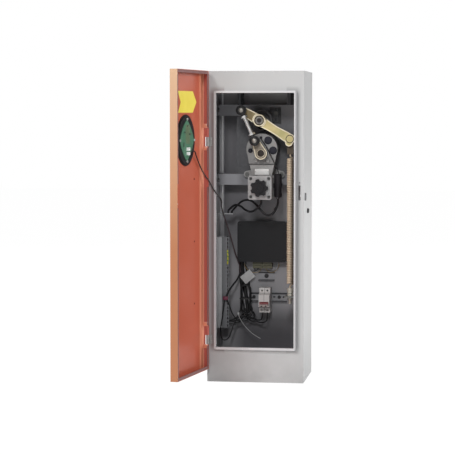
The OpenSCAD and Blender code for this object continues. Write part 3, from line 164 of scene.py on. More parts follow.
floor_finish = Finish("studio_floor", base_color=(0.86, 0.86, 0.86, 1.0), roughness=0.8)
ray_kinds = ("Camera", "Glossy", "Transmission")
rays = [floor_finish.node("LightPath", output=f"Is {kind} Ray") for kind in ray_kinds]
seen = rays[0].math("MAXIMUM", rays[0], rays[1].math("MAXIMUM", rays[1], rays[2]))
white = floor_finish.node("Emission", {}, {"Color": (1.0, 1.0, 1.0, 1.0), "Strength": 1.05})
plain = Value(floor_finish, floor_finish.shader.outputs[0])
shown = floor_finish.node("MixShader", {}, {0: seen * 0.93, 1: plain, 2: white})
floor_finish.put(floor_finish.tree.nodes["Material Output"].inputs["Surface"], shown)
floor_bm = bmesh.new()
bmesh.ops.create_grid(floor_bm, x_segments=1, y_segments=1, size=14.0)
floor_mesh = bpy.data.meshes.new("studio_floor")
floor_bm.to_mesh(floor_mesh)
floor_bm.free()
floor_mesh.materials.append(floor_finish.material)
floor = bpy.data.objects.new("studio_floor", floor_mesh)
scene.collection.objects.link(floor)

world = bpy.data.worlds.new("studio")
world.use_nodes = True
scene.world = world
world_nodes = world.node_tree.nodes
join = world.node_tree.links.new
sky = world_nodes["Background"]
sky.inputs["Color"].default_value = (1.0, 1.0, 1.0, 1.0)
sky.inputs["Strength"].default_value = 0.26
backdrop = world_nodes.new("ShaderNodeBackground")
backdrop.inputs["Color"].default_value = (1.0, 1.0, 1.0, 1.0)
backdrop.inputs["Strength"].default_value = 1.0
light_path = world_nodes.new("ShaderNodeLightPath")
either = world_nodes.new("ShaderNodeMath")
either.operation = "MAXIMUM"
choice = world_nodes.new("ShaderNodeMixShader")
join(light_path.outputs["Is Camera Ray"], either.inputs[0])
join(light_path.outputs["Is Transmission Ray"], either.inputs[1])
join(either.outputs[0], choice.inputs[0])
join(sky.outputs[0], choice.inputs[1])
join(backdrop.outputs[0], choice.inputs[2])
join(choice.outputs[0], world_nodes["World Output"].inputs["Surface"])


def soft_lamp(name, place, aim, size, power):
    light = bpy.data.lights.new(name, "AREA")
    light.size = size
    light.energy = power
    lamp = bpy.data.objects.new(name, light)
    lamp.location = place
    lamp.rotation_euler = (Vector(aim) - Vector(place)).to_track_quat("-Z", "Y").to_euler()
    scene.collection.objects.link(lamp)


cabinet_middle = (0.0, 0.0, 0.5)
soft_lamp("key_lamp", (-2.5, -4.2, 4.2), cabinet_middle, 1.3, 150.0)
soft_lamp("side_lamp", (4.8, -0.2, 2.2), cabinet_middle, 2.0, 170.0)
soft_lamp("front_lamp", (0.2, -5.0, 3.0), cabinet_middle, 0.8, 105.0)
soft_lamp("back_lamp", (-1.0, 4.0, 3.0), (0.0, 0.0, 0.6), 2.4, 110.0)


# Cabinet shell: folded and welded steel sheet with a satin light grey powder coat that has a faint
# orange peel, slow shifts in tone and some road dirt low down. Inside it is a darker grey that is partly
# painted shade. The front has painted shade beside the trim, and painted shade with a red painted
# reflection by the door's hinges.
across_way = (1.0, 0.0, 0.0)
depth_way = (0.0, 1.0, 0.0)
up_way = (0.0, 0.0, 1.0)


def dress(finish, *names):
    """Gives a finish to solids of the frame."""
    for name in names:
        for holder in nodes[name].material_slots:
            holder.material = finish.material


def shade(colour, amount):
    return tuple(amount * part for part in colour)


def powder_coat(name, colour, roughness, dirt):
    """Returns the coat and its tone, still to be set as the base colour."""
    coat = Finish(name, metallic=0.0, coat_weight=0.2, coat_roughness=0.3)
    clouds = coat.noise(4.0, 3.0, (1.0, 1.0, 0.35))
    streaks = coat.noise(30.0, 4.0, (1.0, 1.0, 0.04))
    low = coat.ramp(coat.along(up_way), 0.15, 0.0) * coat.noise(25.0, 5.0) * dirt
    tone = coat.mix(clouds * 0.7 + streaks * 0.3, shade(colour, 0.93), shade(colour, 1.06))
    coat.set(roughness=roughness + clouds * 0.12 + low * 0.2)
    coat.set(normal=coat.bump(coat.noise(520.0, 2.0), 0.10, 0.0006))
    return coat, coat.mix(low, tone, shade(colour, 0.6))


inner_wall = 0.155
outer_wall = 0.156
frame_depth = 0.1342
roof_under = 0.999
coat, coat_tone = powder_coat("cabinet_coat", (0.48, 0.48, 0.48), 0.34, 0.8)
coat_across = coat.along(across_way)
coat_depth = coat.along(depth_way)
coat_up = coat.along(up_way)
inside = abs(coat_across) < inner_wall
inside = inside * (abs(coat_depth) < frame_depth)
inside = inside * (coat_up < roof_under)

# Inside: a darker grey that is partly painted shade, with painted light low on the back wall, at the right
# behind the motor, under the roof and on the left wall. Near the floor there is painted shade at the right
# and painted light at the left.
inside_painted_light = coat.ramp(coat_up, 0.17, 0.24) * coat.ramp(coat_up, 0.48, 0.34)
inside_painted_light = inside_painted_light * (0.85 + coat.ramp(coat_across, -0.02, 0.09) * 0.55)
inside_painted_light = inside_painted_light + coat.ramp(coat_across, -0.03, 0.04) * (abs(coat_up - 0.58) < 0.1) * 0.9
inside_grey_and_shade = coat.mix(coat.noise(7.0, 4.0), (0.100, 0.098, 0.108), (0.150, 0.147, 0.159))
inside_grey_and_shade = coat.mix(inside_painted_light, inside_grey_and_shade, (0.29, 0.285, 0.30))
inside_grey_and_shade = coat.mix(coat.ramp(coat_up, 0.86, 0.93), inside_grey_and_shade, (0.46, 0.455, 0.47))
left_wall_painted_light = (coat_across < -0.1400) * coat.ramp(coat_up, 0.90, 0.82)
left_wall_painted_light = left_wall_painted_light * (0.5 + coat.ramp(coat_up, 0.3, 0.6) * 0.5)
inside_grey_and_shade = coat.mix(left_wall_painted_light, inside_grey_and_shade, (0.54, 0.54, 0.56))
foot = coat.ramp(coat_up, 0.22, 0.14)
foot_painted_shade = foot * coat.ramp(coat_across, -0.11, -0.04) * 0.45
foot_painted_light = foot * coat.ramp(coat_across, -0.07, -0.12) * 0.7
inside_grey_and_shade = coat.mix(foot_painted_shade, inside_grey_and_shade, (0.045, 0.044, 0.05))
inside_grey_and_shade = coat.mix(foot_painted_light, inside_grey_and_shade, (0.30, 0.295, 0.31))

# Outside: a painted shadow along the trim on the right, painted shade on the left half of the front with
# a red painted reflection by the door, and the right wall darker towards the bottom.
on_front = coat_depth < -frame_depth
by_opening = coat.ramp(abs(coat_up - 0.522), 0.430, 0.405)
beside = coat.ramp(coat_across, 0.149, 0.135) * (coat_across > 0.1) * 0.65 * by_opening
beside = (beside + coat.ramp(coat_across, -0.02, -outer_wall) * 0.25) * on_front
beside = beside + (coat_across > outer_wall - 0.0004) * coat.ramp(coat_up, 0.42, 0.12) * 0.2
# Painted shade with a red painted reflection on the front by the door's hinges.
door_shade_and_reflection = coat.ramp(coat_across, -0.152, -0.140) * (coat_across < -0.1) * by_opening * 0.7 * on_front
coat_tone = coat.mix(beside, coat_tone, (0.14, 0.14, 0.145))
coat_tone = coat.mix(door_shade_and_reflection, coat_tone, (0.11, 0.045, 0.045))
coat.set(base_color=coat.mix(inside, coat_tone, inside_grey_and_shade))
dress(coat, "cabinet_wrap", "front_frame", "roof_panel")


# Trim round the opening: a grey rubber profile pushed over the folded edge of the frame. It is rubbed
# matt by hands, and has painted shade along its two outer edges.
trim_rubber = Finish("trim_rubber", specular_ior_level=0.35)
trim_wear = trim_rubber.noise(45.0, 5.0)
trim_tone = trim_rubber.mix(trim_wear, (0.52, 0.52, 0.53), (0.62, 0.62, 0.63))
trim_across = trim_rubber.along(across_way)
trim_edge_shade = (trim_across > 0.1290) + (trim_across < -0.1245) * 0.6
trim_rubber.set(base_color=trim_rubber.mix(trim_edge_shade, trim_tone, (0.34, 0.34, 0.35)))
trim_rubber.set(roughness=0.5 + trim_wear * 0.2)
trim_rubber.set(normal=trim_rubber.bump(trim_rubber.noise(900.0), 0.12, 0.0005))
dress(trim_rubber, "rim_seal")


# Base plate, chassis plate, straps, rails, brackets and fittings: steel with a grey zinc coat that shows
# a soft spangle and dull patches. Chassis, straps and the spring's yoke have the darkest coat, which is
# partly painted shade.
def zinc_sheet(name, bright, dull, size, metallic=0.6):
    zinc = Finish(name, metallic=metallic)
    cells = zinc.node("TexVoronoi", {}, {"Vector": zinc.place, "Scale": size}, "Color")
    cells = zinc.node("SeparateXYZ", {}, {"Vector": cells})
    patches = zinc.noise(9.0, 4.0)
    zinc.set(base_color=zinc.mix(cells * 0.3 + patches * 0.7, dull, bright))
    zinc.set(roughness=0.36 + patches * 0.22)
    zinc.set(normal=zinc.bump(cells * 0.3 + zinc.noise(300.0) * 0.7, 0.06, 0.0005))
    return zinc


chassis_zinc = zinc_sheet("chassis_zinc", (0.13, 0.13, 0.14), (0.07, 0.07, 0.075), 140.0, 0.4)
# Painted light on the chassis: lighter at its upper right, along its low edge and on its top left member.
chassis_up = chassis_zinc.along(up_way)
chassis_across = chassis_zinc.along(across_way)
painted_light_right = chassis_zinc.ramp(chassis_across, -0.06, 0.12)
painted_light_right = painted_light_right * chassis_zinc.ramp(chassis_up, 0.79, 0.86) * 0.8
painted_light_low = (chassis_up < 0.664) * (0.45 + chassis_zinc.ramp(chassis_across, -0.068, -0.090) * 0.5)
painted_light_high = (chassis_up > 0.857) * chassis_zinc.ramp(chassis_across, -0.02, -0.06) * 0.8
chassis_zinc.tint(painted_light_right + painted_light_low + painted_light_high, (0.33, 0.33, 0.35))
dress(chassis_zinc, "chassis_plate", "base_plate")
strap_spacing = 0.166
strap_zinc = zinc_sheet("strap_zinc", (0.12, 0.12, 0.13), (0.07, 0.07, 0.075), 140.0, 0.4)
# The right half of each strap is painted shade.
strap_painted_shade = (strap_zinc.along(across_way) % strap_spacing) - 0.09
strap_zinc.tint(strap_painted_shade > 0.0, (0.012, 0.012, 0.014))
dress(strap_zinc, "roof_straps")
grey_zinc = zinc_sheet("grey_zinc", (0.50, 0.505, 0.51), (0.30, 0.305, 0.31), 140.0)
dress(grey_zinc, "cable_bracket")
hinge_zinc = zinc_sheet("hinge_zinc", (0.36, 0.355, 0.35), (0.22, 0.216, 0.21), 140.0, 0.35)
dress(hinge_zinc, "hinge_leaves", "hinge_pins")
bolt_zinc = zinc_sheet("bolt_zinc", (0.62, 0.62, 0.61), (0.42, 0.42, 0.41), 500.0)
dress(bolt_zinc, "lock_keeper", "sign_screws")
dull_zinc = zinc_sheet("dull_zinc", (0.20, 0.20, 0.195), (0.10, 0.10, 0.095), 400.0, 0.5)
dress(dull_zinc, "chassis_bolts", "spring_bracket")
warm_zinc = zinc_sheet("warm_zinc", (0.62, 0.60, 0.53), (0.36, 0.34, 0.28), 300.0, 0.4)
dress(warm_zinc, "spring_anchor")
# The yoke's dark brown coat is painted shade.
yoke_zinc_shaded = zinc_sheet("yoke_zinc_shaded", (0.10, 0.075, 0.05), (0.05, 0.038, 0.028), 300.0, 0.4)
dress(yoke_zinc_shaded, "spring_yoke")
rail_zinc = zinc_sheet("rail_zinc", (0.31, 0.31, 0.325), (0.20, 0.20, 0.21), 200.0)
rail_low = 0.2135
rail_spacing = 0.071
# Dark lines under the upper fold and along the lower fold of each rail are painted shade.
rail_height = ((rail_zinc.along(up_way) - rail_low) % rail_spacing) - rail_spacing / 2.0
rail_fold_shade = (rail_height > 0.0085) * (rail_height < 0.0150) + (abs(rail_height + 0.0145) < 0.002)
rail_zinc.tint(rail_fold_shade, (0.06, 0.06, 0.065))
dress(rail_zinc, "mounting_rails")


# Hinge screws: two small screws with rounded heads hold each hinge leaf to the front frame. They are
# plated like the hinges. The two helpers here make them and the other turned pieces that follow.
def set_down(name, bm, finish, body, smooth_angle=35.0):
    """Makes a piece of a mesh drawn in millimetres and lets it ride on a body."""
    bmesh.ops.scale(bm, vec=(0.001, 0.001, 0.001), verts=bm.verts)
    mesh = bpy.data.meshes.new(name)
    bm.to_mesh(mesh)
    bm.free()
    mesh.shade_smooth()
    mesh.set_sharp_from_angle(angle=math.radians(smooth_angle))
    mesh.materials.append(finish.material)
    piece = bpy.data.objects.new(name, mesh)
    scene.collection.objects.link(piece)
    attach(piece, body)


def turn(bm, profile, middle, steps=32):
    """Adds a solid turned about an axis to the front, from points of radius and height."""
    before = set(bm.verts)
    verts = [bm.verts.new((radius, -height, 0.0)) for radius, height in profile]
    edges = [bm.edges.new(pair) for pair in zip(verts, verts[1:])]
    bmesh.ops.spin(bm, geom=verts + edges, cent=(0.0, 0.0, 0.0), axis=(0.0, 1.0, 0.0),
                   angle=2.0 * math.pi, steps=steps, use_merge=True)
    bmesh.ops.remove_doubles(bm, verts=[vert for vert in bm.verts if vert not in before], dist=0.001)
    made = [vert for vert in bm.verts if vert not in before]
    bmesh.ops.translate(bm, vec=middle, verts=made)
    bmesh.ops.recalc_face_normals(bm, faces=list({face for vert in made for face in vert.link_faces}))


screw_bm = bmesh.new()
screw_profile = [(0.0, 1.2), (1.5, 1.0), (2.6, 0.1), (2.6, -0.4), (0.0, -0.4)]
for hinge_low in (123.0, 760.0):
    for rise in (8.0, 21.0):
        turn(screw_bm, screw_profile, (-143.4, -137.3, hinge_low + rise), 18)
set_down("hinge_screws", screw_bm, hinge_zinc, "cabinet")


# Wiring channel on the left wall: folded zinc sheet, with a slotted strip along its right edge for
# strapping cables.
def soft_block(bm, middle, size, radius, segments=2):
    """Adds a block with rounded edges."""
    made = bmesh.ops.create_cube(bm, size=1.0)["verts"]
    bmesh.ops.scale(bm, vec=size, verts=made)
    bmesh.ops.translate(bm, vec=middle, verts=made)
    edges = list({edge for vert in made for edge in vert.link_edges})
    bmesh.ops.bevel(bm, geom=edges, offset=radius, segments=segments, profile=0.5,
                    affect="EDGES", material=-1)


channel_zinc = zinc_sheet("channel_zinc", (0.70, 0.705, 0.72), (0.54, 0.545, 0.56), 120.0, 0.25)
# The right part of the channel's front face is painted shade.
channel_zinc.tint(channel_zinc.along(across_way) > -0.1375, (0.185, 0.188, 0.198))
dress(channel_zinc, "wall_channel")
strip_depth = 60.8
rung_low = 153.0
rung_spacing = 11.96
strip_bm = bmesh.new()
for rail_across in (-121.2, -114.2):
    soft_block(strip_bm, (rail_across, strip_depth, 302.5), (2.4, 1.4, 303.0), 0.3, 1)
for rung in range(26):
    soft_block(strip_bm, (-117.7, strip_depth, rung_low + rung_spacing * rung), (8.0, 1.2, 4.2), 0.3, 1)
set_down("slotted_strip", strip_bm, channel_zinc, "cabinet")


# Guide rod behind the chassis plate at the left: a bright drawn steel rod that hangs from the roof. Its
# lower end is free, behind the cable bracket.
rod_length = 463.6
rod_radius = 2.6
rod_bm = bmesh.new()
bmesh.ops.create_cone(rod_bm, cap_ends=True, segments=24, radius1=rod_radius, radius2=rod_radius,
                      depth=rod_length)
bmesh.ops.translate(rod_bm, vec=(-138.0, 85.0, 765.9), verts=rod_bm.verts)
rod_zinc = zinc_sheet("rod_zinc", (0.80, 0.80, 0.81), (0.62, 0.62, 0.63), 300.0, 0.2)
set_down("guide_rod", rod_bm, rod_zinc, "cabinet")


# Flange bearings and boom flange: grey iron castings with a thin dark paint, rough between the
# machined faces. The front one has a collar round the shaft and, at its right, a dark foot that is a
# painted shadow and a lighter edge that is a painted highlight. Dark bolts and the door's rivets are
# painted in the same way.
def sand_cast(name, colour, metallic, roughness, grain, relief=0.22):
    cast = Finish(name, metallic=metallic)
    pits = cast.noise(grain, 5.0)
    clouds = cast.noise(14.0, 3.0)
    grime = cast.ramp(cast.noise(34.0, 5.0), 0.45, 0.75)
    tone = cast.mix(clouds * 0.6 + pits * 0.4, shade(colour, 0.8), shade(colour, 1.15))
    cast.set(base_color=cast.mix(grime * 0.5, tone, shade(colour, 0.55)))
    cast.set(roughness=roughness + pits * 0.2)
    cast.set(normal=cast.bump(pits, relief, 0.0008))
    return cast


iron_paint = sand_cast("iron_paint", (0.105, 0.106, 0.110), 0.2, 0.36, 380.0)
dress(iron_paint, "front_bearing", "rear_bearing", "boom_flange")
shaft_height = 842.0
collar_bm = bmesh.new()
collar_profile = [(27.6, 0.0), (35.0, 0.0), (36.0, 1.0), (36.0, 12.0), (34.0, 14.0), (30.0, 14.0),
                  (27.6, 11.0), (27.6, 0.0)]
turn(collar_bm, collar_profile, (0.0, 38.0, shaft_height), 56)
set_down("bearing_collar", collar_bm, iron_paint, "cabinet")
# Painted shadow: a dark plate at the bearing's right.
shadow_foot_bm = bmesh.new()
soft_block(shadow_foot_bm, (40.0, 67.9, 858.0), (38.0, 4.0, 54.0), 1.8)
set_down("bearing_painted_shadow", shadow_foot_bm, iron_paint, "cabinet")
# Painted highlight: a lighter strip along the bearing's right edge.
highlight_edge_bm = bmesh.new()
soft_block(highlight_edge_bm, (47.6, 62.0, 861.0), (4.4, 8.4, 46.0), 1.6)
edge_highlight_iron = sand_cast("edge_highlight_iron", (0.16, 0.16, 0.17), 0.3, 0.32, 500.0)
set_down("bearing_painted_highlight", highlight_edge_bm, edge_highlight_iron, "cabinet")
black_bolt = sand_cast("black_bolt", (0.03, 0.03, 0.032), 0.5, 0.35, 700.0)
dress(black_bolt, "rail_bolts", "clamp_bolt")
rivet_paint = sand_cast("rivet_paint", (0.22, 0.06, 0.04), 0.3, 0.35, 700.0)
dress(rivet_paint, "door_rivets")


# Gear motor: aluminium die castings, frosted and a little oily, with grey screws, black plugs in the
# cover, the outlet of a thin lead and a bare plate riveted on the lower half.
parting = 0.6995
die_cast = sand_cast("die_cast", (0.36, 0.355, 0.35), 0.35, 0.30, 520.0)
cast_up = die_cast.along(up_way)
die_cast.tint((cast_up > parting) * 0.45, (0.16, 0.155, 0.155))
die_cast.tint(abs(cast_up - parting) < 0.0013, (0.05, 0.05, 0.05))
dress(die_cast, "gearbox_housing", "gearbox_cover")
motor_cast = sand_cast("motor_cast", (0.42, 0.415, 0.415), 0.35, 0.30, 520.0)
dress(motor_cast, "motor_body", "motor_end_bell")
screw_steel = sand_cast("screw_steel", (0.09, 0.09, 0.09), 0.5, 0.3, 700.0)
screw_steel.tint(screw_steel.along(up_way) > 0.67, (0.33, 0.325, 0.32))
dress(screw_steel, "drive_screws")

cover_front = -8.0
plug_bm = bmesh.new()
for right, up, radius in ((42.0, 744.0, 13.0), (25.5, 777.0, 13.0), (-33.0, 743.0, 6.5)):
    plug_profile = [(0.0, 3.4), (radius - 4.0, 3.2), (radius - 1.4, 2.2), (radius, 0.6), (radius, -0.3),
                    (0.0, -0.3)]
    turn(plug_bm, plug_profile, (right, cover_front, up), 40)
outlet_profile = [(0.0, 2.4), (2.2, 2.4), (4.2, 1.0), (4.4, -0.3), (0.0, -0.3)]
turn(plug_bm, outlet_profile, (2.0, cover_front, 786.0), 24)
plug_rubber = sand_cast("plug_rubber", (0.024, 0.024, 0.034), 0.0, 0.6, 600.0, 0.1)
plug_rubber.set(specular_ior_level=0.25)
set_down("cover_plugs", plug_bm, plug_rubber, "cabinet")

plate_across = 5.0
plate_height = 674.0
plate_white = Finish("plate_white")
plate_wear = plate_white.noise(80.0, 4.0)
plate_white.set(base_color=plate_white.mix(plate_wear, (0.80, 0.80, 0.79), (0.92, 0.92, 0.91)))
plate_white.set(roughness=0.3 + plate_wear * 0.15)
plate_bm = bmesh.new()
soft_block(plate_bm, (plate_across, -7.4, plate_height), (46.0, 1.0, 19.0), 0.4)
set_down("bare_plate", plate_bm, plate_white, "cabinet")
rivet_bm = bmesh.new()
rivet_profile = [(0.0, 0.9), (1.2, 0.7), (1.7, 0.0), (1.7, -0.2), (0.0, -0.2)]
for side in (-20.5, 20.5):
    turn(rivet_bm, rivet_profile, (plate_across + side, -7.9, plate_height), 16)
set_down("plate_rivets", rivet_bm, bolt_zinc, "cabinet")


# Star handwheel, motor capacitor and its clip: moulded plastic, nearly black. The clip is snapped round
# the capacitor, the handwheel sits on the motor's shaft, and the side wall's plug is of the same plastic.
def moulded(name, colour, roughness, grain=600.0, relief=0.1):
    plastic = Finish(name, specular_ior_level=0.45)
    clouds = plastic.noise(25.0, 3.0)
    plastic.set(base_color=plastic.mix(clouds, shade(colour, 0.85), shade(colour, 1.15)))
    plastic.set(roughness=roughness + clouds * 0.12)
    plastic.set(normal=plastic.bump(plastic.noise(grain, 2.0), relief, 0.0005))
    return plastic


wheel_plastic = moulded("wheel_plastic", (0.011, 0.010, 0.012), 0.26)
wheel_plastic.set(specular_ior_level=0.3)
dress(wheel_plastic, "handwheel", "side_plug")
can_plastic = moulded("can_plastic", (0.020, 0.017, 0.020), 0.42)
can_plastic.set(specular_ior_level=0.25)
dress(can_plastic, "capacitor", "capacitor_clip")


# Lever, crank and spring pin: steel forgings, yellow zinc plated, with the iridescent stain of that
# coat, darker towards the lever's left arm. The lever's face has a raised rim all round, and the pin's
# head is hollow.
yellow_zinc = Finish("yellow_zinc", metallic=0.7)
stain = yellow_zinc.noise(28.0, 4.0)
film = yellow_zinc.ramp(yellow_zinc.noise(16.0, 4.0), 0.4, 0.7)
gold = yellow_zinc.mix(stain, (0.50, 0.39, 0.17), (0.74, 0.64, 0.36))
gold = yellow_zinc.mix(film * 0.5, gold, (0.34, 0.38, 0.16))
# Darker towards the lever's left arm.
left_arm_darker = yellow_zinc.ramp(yellow_zinc.along(across_way), 0.01, -0.025)
yellow_zinc.set(base_color=yellow_zinc.mix(left_arm_darker * 0.8, gold, (0.15, 0.105, 0.06)))
yellow_zinc.set(roughness=0.24 + stain * 0.2)
yellow_zinc.set(normal=yellow_zinc.bump(yellow_zinc.noise(260.0, 4.0), 0.12, 0.0008))
dress(yellow_zinc, "drive_lever", "spring_pin")
crank_zinc = zinc_sheet("crank_zinc", (0.345, 0.30, 0.245), (0.17, 0.147, 0.118), 90.0, 0.6)
dress(crank_zinc, "crank")


def draw_out(bm, faces, offset):
    """Draws flat faces out into a solid."""
    raised = bmesh.ops.extrude_face_region(bm, geom=faces, use_keep_orig=True)["geom"]
    lifted = [item for item in raised if isinstance(item, bmesh.types.BMVert)]
    bmesh.ops.translate(bm, vec=offset, verts=lifted)
    bmesh.ops.recalc_face_normals(bm, faces=bm.faces)


def raised_rim(name, node, front, width, height, finish, body):
    """Makes a rim on the flat front of a solid by setting its face in and lifting the border."""
    bm = bmesh.new()
    bm.from_mesh(nodes[node].data)
    bm.transform(nodes[node].matrix_world)
    bmesh.ops.scale(bm, vec=(1000.0, 1000.0, 1000.0), verts=bm.verts)
    ahead = [face for face in bm.faces if face.normal.y < -0.99]
    flat = {face for face in ahead if abs(face.calc_center_median().y - front) < 0.1}
    bmesh.ops.delete(bm, geom=[face for face in bm.faces if face not in flat], context="FACES")
    bmesh.ops.remove_doubles(bm, verts=bm.verts, dist=0.01)
    bmesh.ops.dissolve_limit(bm, angle_limit=0.01, verts=bm.verts, edges=bm.edges)
    inset = bmesh.ops.inset_region(bm, faces=bm.faces, thickness=width, use_boundary=True,
                                   use_even_offset=True)
    border = set(inset["faces"])
    bmesh.ops.delete(bm, geom=[face for face in bm.faces if face not in border], context="FACES")
    draw_out(bm, bm.faces, (0.0, -height, 0.0))
    set_down(name, bm, finish, body)


forged_front = -36.0
hub_face = (0.0, -40.0, shaft_height)
# The rims and the hub's ring are lighter: worn, and a painted highlight.
worn_zinc_and_highlight = zinc_sheet("worn_zinc_and_highlight", (0.88, 0.82, 0.66), (0.66, 0.58, 0.40), 90.0, 0.55)
raised_rim("lever_rim", "drive_lever", forged_front, 3.0, 2.2, worn_zinc_and_highlight, "lever")
raised_rim("crank_rim", "crank", forged_front, 2.6, 1.4, worn_zinc_and_highlight, "crank")
# Dark pieces in the pin's head, in and round the hub, in the hub's slot and in the crank are painted shade.
hollow = moulded("hollow_painted_shade", (0.020, 0.014, 0.011), 0.6)
hollow_bm = bmesh.new()
pin_groove = [(11.1, 0.3), (13.4, 0.3), (13.4, -2.4), (11.1, -2.4), (11.1, 0.3)]
turn(hollow_bm, pin_groove, (100.0, -38.4, 782.0), 40)
turn(hollow_bm, [(0.0, 0.4), (7.4, 0.4), (7.4, -0.3), (0.0, -0.3)], hub_face)
hub_groove = [(12.4, 0.2), (16.2, 0.2), (16.2, -0.3), (12.4, -0.3), (12.4, 0.2)]
turn(hollow_bm, hub_groove, hub_face, 40)
soft_block(hollow_bm, (0.0, -40.0, 827.0), (2.4, 0.6, 11.0), 0.2, 1)
set_down("lever_hollows", hollow_bm, hollow, "lever")
hollow_bm = bmesh.new()
crank_recess = [(0.0, 0.2), (11.2, 0.2), (11.8, -0.2), (11.8, -1.6), (0.0, -1.6)]
turn(hollow_bm, crank_recess, (5.0, -37.5, 735.0), 40)
set_down("crank_hollow", hollow_bm, hollow, "crank")


# Shafts and ball stud: turned steel with fine rings of the tool and dark oil. The shafts run in the
# bearings and the gearbox and carry lever and crank.
turned_steel = Finish("turned_steel", metallic=0.9)
rings = turned_steel.noise(900.0, 2.0, (0.05, 1.0, 0.05))
oil = turned_steel.noise(60.0, 3.0)
turned_steel.set(base_color=turned_steel.mix(oil, (0.10, 0.09, 0.08), (0.34, 0.33, 0.32)))
turned_steel.set(roughness=0.22 + oil * 0.25)
turned_steel.set(normal=turned_steel.bump(rings, 0.08, 0.0004))
dress(turned_steel, "main_shaft", "crank_shaft", "ball_stud")


# Lock and blanking cap in the right wall: a bright plated barrel with its cam, a grey steel collar round
# the barrel, and below it a black plastic cap pushed into a spare hole.
right_wall = 156.0


def swing(bm, degrees, axis, centre=(0.0, 0.0, 0.0)):
    """Turns all that is drawn in a mesh about an axis."""
    turned = Matrix.Rotation(math.radians(degrees), 3, axis)
    bmesh.ops.rotate(bm, cent=centre, matrix=turned, verts=bm.verts)


def stand_on_wall(name, profile, depth, up, steps, finish):
    """Turns a piece that stands on the outside of the right wall."""
    bm = bmesh.new()
    turn(bm, profile, (depth, -right_wall, up), steps)
    swing(bm, 90.0, "Z")
    set_down(name, bm, finish, "cabinet")


bright_lock = zinc_sheet("bright_lock", (0.62, 0.62, 0.63), (0.40, 0.40, 0.41), 600.0, 0.95)
dress(bright_lock, "lock_barrel", "lock_cam")
collar_steel = sand_cast("collar_steel", (0.16, 0.16, 0.165), 0.5, 0.35, 600.0)
lock_profile = [(10.9, 3.4), (11.8, 3.4), (12.4, 2.6), (12.6, -0.3), (10.9, -0.3), (10.9, 3.4)]
stand_on_wall("lock_collar", lock_profile, -95.0, 598.0, 40, collar_steel)
cap_profile = [(0.0, 5.6), (5.6, 5.4), (7.4, 4.4), (8.0, -0.3), (0.0, -0.3)]
stand_on_wall("side_cap", cap_profile, -20.0, 549.0, 32, wheel_plastic)


# Ring round the lever's hub: part of the same forging, machined flat. It stands a little proud, so it has
# lost most of its yellow, and its light tone is partly a painted highlight.
ring_bm = bmesh.new()
ring_profile = [(16.2, 1.2), (19.0, 1.2), (19.8, 0.4), (19.8, -0.2), (16.2, -0.2), (16.2, 1.2)]
turn(ring_bm, ring_profile, hub_face, 40)
set_down("hub_ring", ring_bm, worn_zinc_and_highlight, "lever")


# Tie rod and its ball joints: a bright drawn rod, black rubber boots over the balls and a domed steel
# cap in the middle of each joint.
bright_rod = Finish("bright_rod", metallic=0.8)
drawn = bright_rod.noise(70.0, 3.0)
bright_rod.set(base_color=bright_rod.mix(drawn, (0.88, 0.88, 0.87), (0.97, 0.97, 0.96)))
bright_rod.set(roughness=0.14 + drawn * 0.18)
dress(bright_rod, "tie_rod")
boot_rubber = moulded("boot_rubber", (0.014, 0.014, 0.015), 0.42, 300.0, 0.2)
dress(boot_rubber, "rod_ends")
boot_bm = bmesh.new()
cap_bm = bmesh.new()
boot_profile = [(8.3, -2.4), (8.3, 0.4), (8.9, 1.6), (10.2, 2.2), (12.2, 1.6), (13.4, 0.2), (16.6, -2.4),
                (8.3, -2.4)]
dome_profile = [(0.0, 2.4), (3.0, 2.1), (5.6, 1.2), (7.4, 0.2), (8.2, -0.4), (0.0, -0.4)]
for ball in ((-57.0, -62.0, 875.0), (-13.285, -62.0, 776.289)):
    turn(boot_bm, boot_profile, ball, 40)
    turn(cap_bm, dome_profile, ball, 32)
set_down("joint_boots", boot_bm, boot_rubber, "rod")
cap_steel = zinc_sheet("cap_steel", (0.42, 0.40, 0.37), (0.24, 0.23, 0.21), 400.0, 0.8)
set_down("joint_caps", cap_bm, cap_steel, "rod")


# Balance spring: round wire, wound close and yellow zinc plated, drawn in at both ends to a straight
# stem. It stretches between the anchor on the cabinet and the yoke on the lever.
spring_axis = (100.0, -19.6)
coil_r = 9.0
coil_low = 309.2
pitch = 5.6
turns = 73
stem = 14.0
wire = 5.0
wire_shown = 5.5
start_pull = 8.0
end_pull = 5.0
points_per_turn = 16


def coil_point(turned):
    angle = 2.0 * math.pi * turned
    return Vector((spring_axis[0] + coil_r * math.cos(angle), spring_axis[1] + coil_r * math.sin(angle),
                   coil_low + pitch * turned))


def stem_points(turned, way):
    start = coil_point(turned)
    angle = 2.0 * math.pi * turned
    end = Vector((spring_axis[0], spring_axis[1], start.z + way * stem))
    side = way * Vector((-math.sin(angle), math.cos(angle), 0.1))
    up = Vector((0.0, 0.0, way))
    bend_end = end - wire * up
    bend = interpolate_bezier(start, start + start_pull * side, bend_end - end_pull * up, bend_end, 9)
    return bend[1:] + [end]


def tube_mesh(name, line, thick, finish):
    """A round tube along points given in millimetres, as a mesh."""
    curve = bpy.data.curves.new(name, "CURVE")
    curve.dimensions = "3D"
    spline = curve.splines.new("POLY")
    spline.points.add(len(line) - 1)
    for knot, point in zip(spline.points, line):
        knot.co = (*(Vector(point) / 1000.0), 1.0)
    curve.bevel_depth = thick / 2000.0
    curve.bevel_resolution = 2
    curve.use_fill_caps = True
    holder = bpy.data.objects.new(name, curve)
    scene.collection.objects.link(holder)
    bpy.context.view_layer.update()
    mesh = bpy.data.meshes.new_from_object(holder.evaluated_get(bpy.context.evaluated_depsgraph_get()))
    bpy.data.objects.remove(holder)
    mesh.name = name
    mesh.shade_smooth()
    mesh.materials.clear()
    mesh.materials.append(finish.material)
    piece = bpy.data.objects.new(name, mesh)
    scene.collection.objects.link(piece)
    return piece


